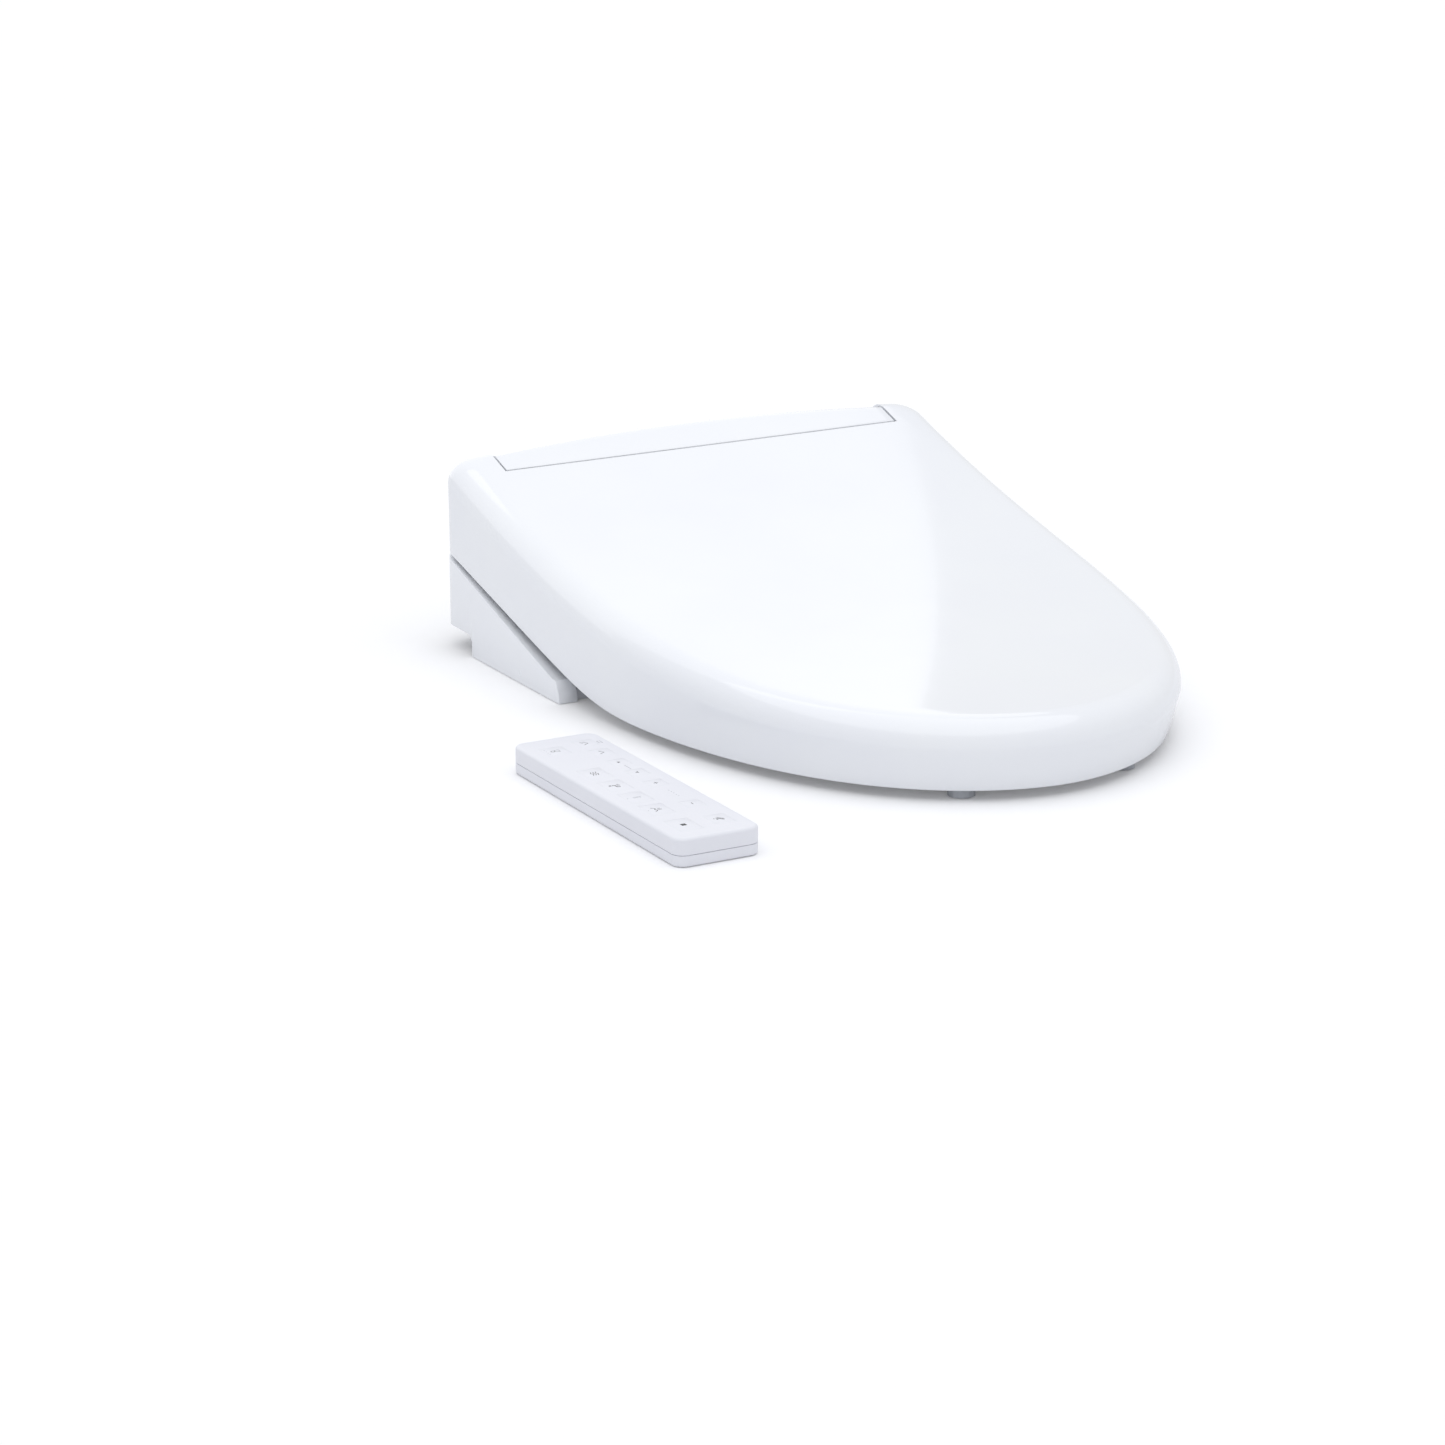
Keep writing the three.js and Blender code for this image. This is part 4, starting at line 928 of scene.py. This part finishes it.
# %% Pictograms
def pictograms():
    yield "stop", icon_ink, [solid([(-1.7, -1.7), (1.7, -1.7), (1.7, 1.7), (-1.7, 1.7)])]
    yield "rear_wash", icon_ink, [seat_line(3.6, 2.6), *spray(0, -0.6, 2.8)]
    yield "soft_wash", icon_grey, [disc(dx, 1.6 - 1.1 * row, 0.26)
                                   for row in range(5) for dx in (-0.8, 0, 0.8)]
    yield "front_wash", icon_ink, [disc(0.9, 3.3, 0.85), *spray(0.6, -1.0, 2.4),
                                   stroke([(0.9, 2.1), (0.3, 0.2), (-2.6, 0.0), (-3.0, -2.0)], 0.95)]
    waves = [stroke([(x / 4, level + 0.45 * sin(x / 4 * 1.5)) for x in range(-13, 14)], 0.42)
             for level in (-1.7, 0, 1.7)]
    yield "dryer", icon_ink, waves
    body = [(-1.9, -2.8), (-1.6, -0.6), (-0.8, 0.4), (0.8, 0.4), (1.6, -0.6), (1.9, -2.8)]
    yield "user", icon_ink, [stroke(bow(0, 1.7, 1.25, 0, 340), 0.36, closed=True),
                             stroke(body, 0.36, closed=True)]
    yield "wand_clean", icon_ink, [stroke([(-2.6, -2.4), (1.7, 1.5)], 1.0),
                                   stroke([(-0.9, -2.7), (2.6, 0.4)], 0.35),
                                   star(-1.0, 1.7, 1.1), star(0.9, 3.1, 0.8)]
    yield "pressure_less", icon_ink, [stroke([(-1.5, 0), (1.5, 0)], 0.5)]
    yield "pressure_more", icon_ink, [stroke([(-1.5, 0), (1.5, 0)], 0.5),
                                      stroke([(0, -1.5), (0, 1.5)], 0.5)]
    yield "wand_back", icon_ink, [solid([(-1.3, -1.0), (1.3, -1.0), (0, 1.1)])]
    yield "wand_front", icon_ink, [solid([(-1.3, 1.0), (0, -1.1), (1.3, 1.0)])]
    yield "seat_up", icon_ink, [stroke([(-3.0, 2.0), (-0.8, -1.6), (3.0, 0.6)], 0.42)]
    yield "lid_up", icon_ink, [stroke([(-3.0, 2.0), (-0.8, -1.6), (3.0, 0.6)], 0.42),
                               stroke([(0.4, 1.4), (3.0, 2.6)], 0.42)]


for name, finish, marks in pictograms():
    x, y, _, _ = KEYS[name]
    ink = merged(*marks)
    ink.transform(Matrix.Translation((x * MM, y * MM, 0)))
    piece(f"{name}_sign", lying(ink), finish, "dark_plastic", f"key_{name}")
cover_marks = merged(
    stroke([(27.5, -13), (36.5, -13)], 0.28),
    stroke([(86, -23.4), (90.4, -23.4), (90.4, -21.2), (86, -21.2)], 0.3, closed=True))
piece("cover_signs", lying(cover_marks), icon_grey, "dark_plastic", "remote")

# %% [markdown]
# ## Rows of lights
# Indicator dots come in rows of one, four and five. One small node tree lays a row of discs along a
# line; its count, spacing and radius are inputs, so one tree serves every row.


# %% Row of dots
def row_tree():
    tree = bpy.data.node_groups.new("row_of_dots", "GeometryNodeTree")
    ports = {}
    for label, kind in (("Count", "NodeSocketInt"), ("Spacing", "NodeSocketVector"),
                        ("Radius", "NodeSocketFloat"), ("Ink", "NodeSocketMaterial")):
        ports[label] = tree.interface.new_socket(label, in_out="INPUT", socket_type=kind).identifier
    tree.interface.new_socket("Geometry", in_out="OUTPUT", socket_type="NodeSocketGeometry")
    inside, outside = tree.nodes.new("NodeGroupInput"), tree.nodes.new("NodeGroupOutput")
    line = tree.nodes.new("GeometryNodeMeshLine")
    dot = tree.nodes.new("GeometryNodeMeshCylinder")
    dot.inputs["Vertices"].default_value = 14
    dot.inputs["Depth"].default_value = 0.00006
    spread = tree.nodes.new("GeometryNodeInstanceOnPoints")
    real = tree.nodes.new("GeometryNodeRealizeInstances")
    paint = tree.nodes.new("GeometryNodeSetMaterial")
    for start, end in (
            (inside.outputs["Count"], line.inputs["Count"]),
            (inside.outputs["Spacing"], line.inputs["Offset"]),
            (inside.outputs["Radius"], dot.inputs["Radius"]),
            (line.outputs["Mesh"], spread.inputs["Points"]),
            (dot.outputs["Mesh"], spread.inputs["Instance"]),
            (spread.outputs["Instances"], real.inputs["Geometry"]),
            (real.outputs["Geometry"], paint.inputs["Geometry"]),
            (inside.outputs["Ink"], paint.inputs["Material"]),
            (paint.outputs["Geometry"], outside.inputs[0])):
        tree.links.new(start, end)
    return tree, ports


DOT_TREE, DOT_PORTS = row_tree()
print("dot tree inputs", *DOT_PORTS)

# %% [markdown]
# Each row is laid out flat on the remote, turned with it, and rides on the key or cover it is printed on.


# %% The rows
def dots(name, body, x, y, count, spacing, radius=0.3):
    holder = bpy.data.objects.new("row", bpy.data.meshes.new("row"))
    scene.collection.objects.link(holder)
    step = holder.modifiers.new("row", "NODES")
    step.node_group = DOT_TREE
    step[DOT_PORTS["Count"]] = count
    step[DOT_PORTS["Spacing"]] = (spacing * MM, 0.0, 0.0)
    step[DOT_PORTS["Radius"]] = radius * MM
    step[DOT_PORTS["Ink"]] = icon_grey
    mesh = settled(holder)
    bpy.data.objects.remove(holder)
    start = x - spacing * (count - 1) / 2
    mesh.transform(Matrix.Translation((start * MM, y * MM, REMOTE_HEIGHT * MM)))
    return piece(name, lying(mesh), icon_grey, "dark_plastic", body)


dots("pressure_dots", "remote", -28.5, -13, 5, 3.2)
dots("user_dots", "key_user", 84, 17.2, 4, 2.8)
dots("rear_wash_dot", "key_rear_wash", -52, 17.2, 1, 1.0)
dots("soft_wash_dot", "key_soft_wash", -25, 17.2, 1, 1.0)

# %% [markdown]
# ## Floor
# Plain pale paper carries the shadow. It lies half a millimetre down, so the feet do not share its
# plane. A little emission, for camera rays only, lifts it to white without lighting the seat.

# %% Floor
floor_mesh = bpy.data.meshes.new("studio_floor")
floor_mesh.from_pydata([(-14, -14, 0), (14, -14, 0), (14, 14, 0), (-14, 14, 0)], [], [(0, 1, 2, 3)])
floor = bpy.data.objects.new("studio_floor", floor_mesh)
floor.location.z = -0.0005
scene.collection.objects.link(floor)
paper = Finish("studio_paper", Roughness=0.9, Specular_IOR_Level=0.0)
paper.shader.inputs["Base Color"].default_value = colour(244, 244, 245)
light_path = paper.node("ShaderNodeLightPath")
glow = paper.node("ShaderNodeEmission", {}, {"Color": (1, 1, 1, 1), "Strength": 0.12})
both = paper.node("ShaderNodeAddShader")
paper.tree.links.new(paper.shader.outputs[0], both.inputs[0])
paper.tree.links.new(glow.outputs[0], both.inputs[1])
choice = paper.node("ShaderNodeMixShader", {}, {0: Value(paper, light_path.outputs["Is Camera Ray"])})
paper.tree.links.new(paper.shader.outputs[0], choice.inputs[1])
paper.tree.links.new(both.outputs[0], choice.inputs[2])
paper.tree.links.new(choice.outputs[0], paper.tree.nodes["Material Output"].inputs[0])
floor_mesh.materials.append(paper.material)
print("floor at", round(floor.location.z, 4))

# %% [markdown]
# ## Light
# A broad soft lamp overhead gives the plain level. A large soft panel stands behind and above the seat
# and leans a little. The polished lid mirrors it, and its edge is the line that runs across the lid from
# the strip to the front. Diffuse rays do not see the panel, so it adds a reflection and no level.

# %% Lamps
sun_data = bpy.data.lights.new("overhead_soft", "SUN")
sun_data.energy, sun_data.angle = 1.08, radians(80)
sun = bpy.data.objects.new("overhead_soft", sun_data)
sun.rotation_euler = (radians(6), radians(-5), 0)
scene.collection.objects.link(sun)

panel_data = bpy.data.lights.new("soft_panel", "AREA")
panel_data.shape, panel_data.size, panel_data.size_y = "RECTANGLE", 2.4, 3.0
panel_data.energy = 0.5 * pi * panel_data.size * panel_data.size_y
panel = bpy.data.objects.new("soft_panel", panel_data)
panel.matrix_world = (Matrix.Translation((0.0, 1.2, 1.6)) @ Matrix.Rotation(radians(21), 4, "Y")
                      @ Matrix.Rotation(radians(-90), 4, "X"))
panel.visible_diffuse = False
panel.visible_camera = False
scene.collection.objects.link(panel)

print("lamps", sun_data.name, panel_data.name)

# %% [markdown]
# The room is a cool, dim white for the light it gives, and full white where the camera or a reflection
# looks straight at it. The kind of ray chooses between the two.

# %% Surroundings
world = bpy.data.worlds.new("studio")
scene.world = world
world.use_nodes = True
nodes, links = world.node_tree.nodes, world.node_tree.links
nodes.clear()
ambient = nodes.new("ShaderNodeBackground")
ambient.inputs["Color"].default_value = (0.95, 0.965, 1.0, 1)
ambient.inputs["Strength"].default_value = 0.67
white = nodes.new("ShaderNodeBackground")
white.inputs["Strength"].default_value = 1.0
seen = nodes.new("ShaderNodeLightPath")
either = nodes.new("ShaderNodeMath")
either.operation = "MAXIMUM"
links.new(seen.outputs["Is Camera Ray"], either.inputs[0])
links.new(seen.outputs["Is Glossy Ray"], either.inputs[1])
any_of = nodes.new("ShaderNodeMath")
any_of.operation = "MAXIMUM"
links.new(either.outputs[0], any_of.inputs[0])
links.new(seen.outputs["Is Transmission Ray"], any_of.inputs[1])
mix = nodes.new("ShaderNodeMixShader")
links.new(any_of.outputs[0], mix.inputs[0])
links.new(ambient.outputs[0], mix.inputs[1])
links.new(white.outputs[0], mix.inputs[2])
output = nodes.new("ShaderNodeOutputWorld")
links.new(mix.outputs[0], output.inputs[0])
print("world nodes", len(nodes))

# %% [markdown]
# ## Finishes on the carried-over nodes
# Pieces without a finer mesh keep their CAD mesh. Each arrives with a slot name, and that name picks
# the finish here, so a bolt is steel wherever it sits.

# %% Finishes on the carried-over nodes
FINISHES = {
    "gloss_white": gloss_white, "seat_white": seat_white, "satin_white": satin_white,
    "inner_grey": inner_grey, "dark_plastic": dark_plastic, "soft_rubber": soft_rubber,
    "steel": steel, "foil": foil, "board": board, "brass": brass,
}
for name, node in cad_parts.items():
    for holder in node.material_slots:
        base = holder.material.name.split(".")[0] if holder.material else ""
        if base in FINISHES:
            holder.material = FINISHES[base]
        else:
            print("no finish for", name, base)
print("finishes", len(FINISHES))
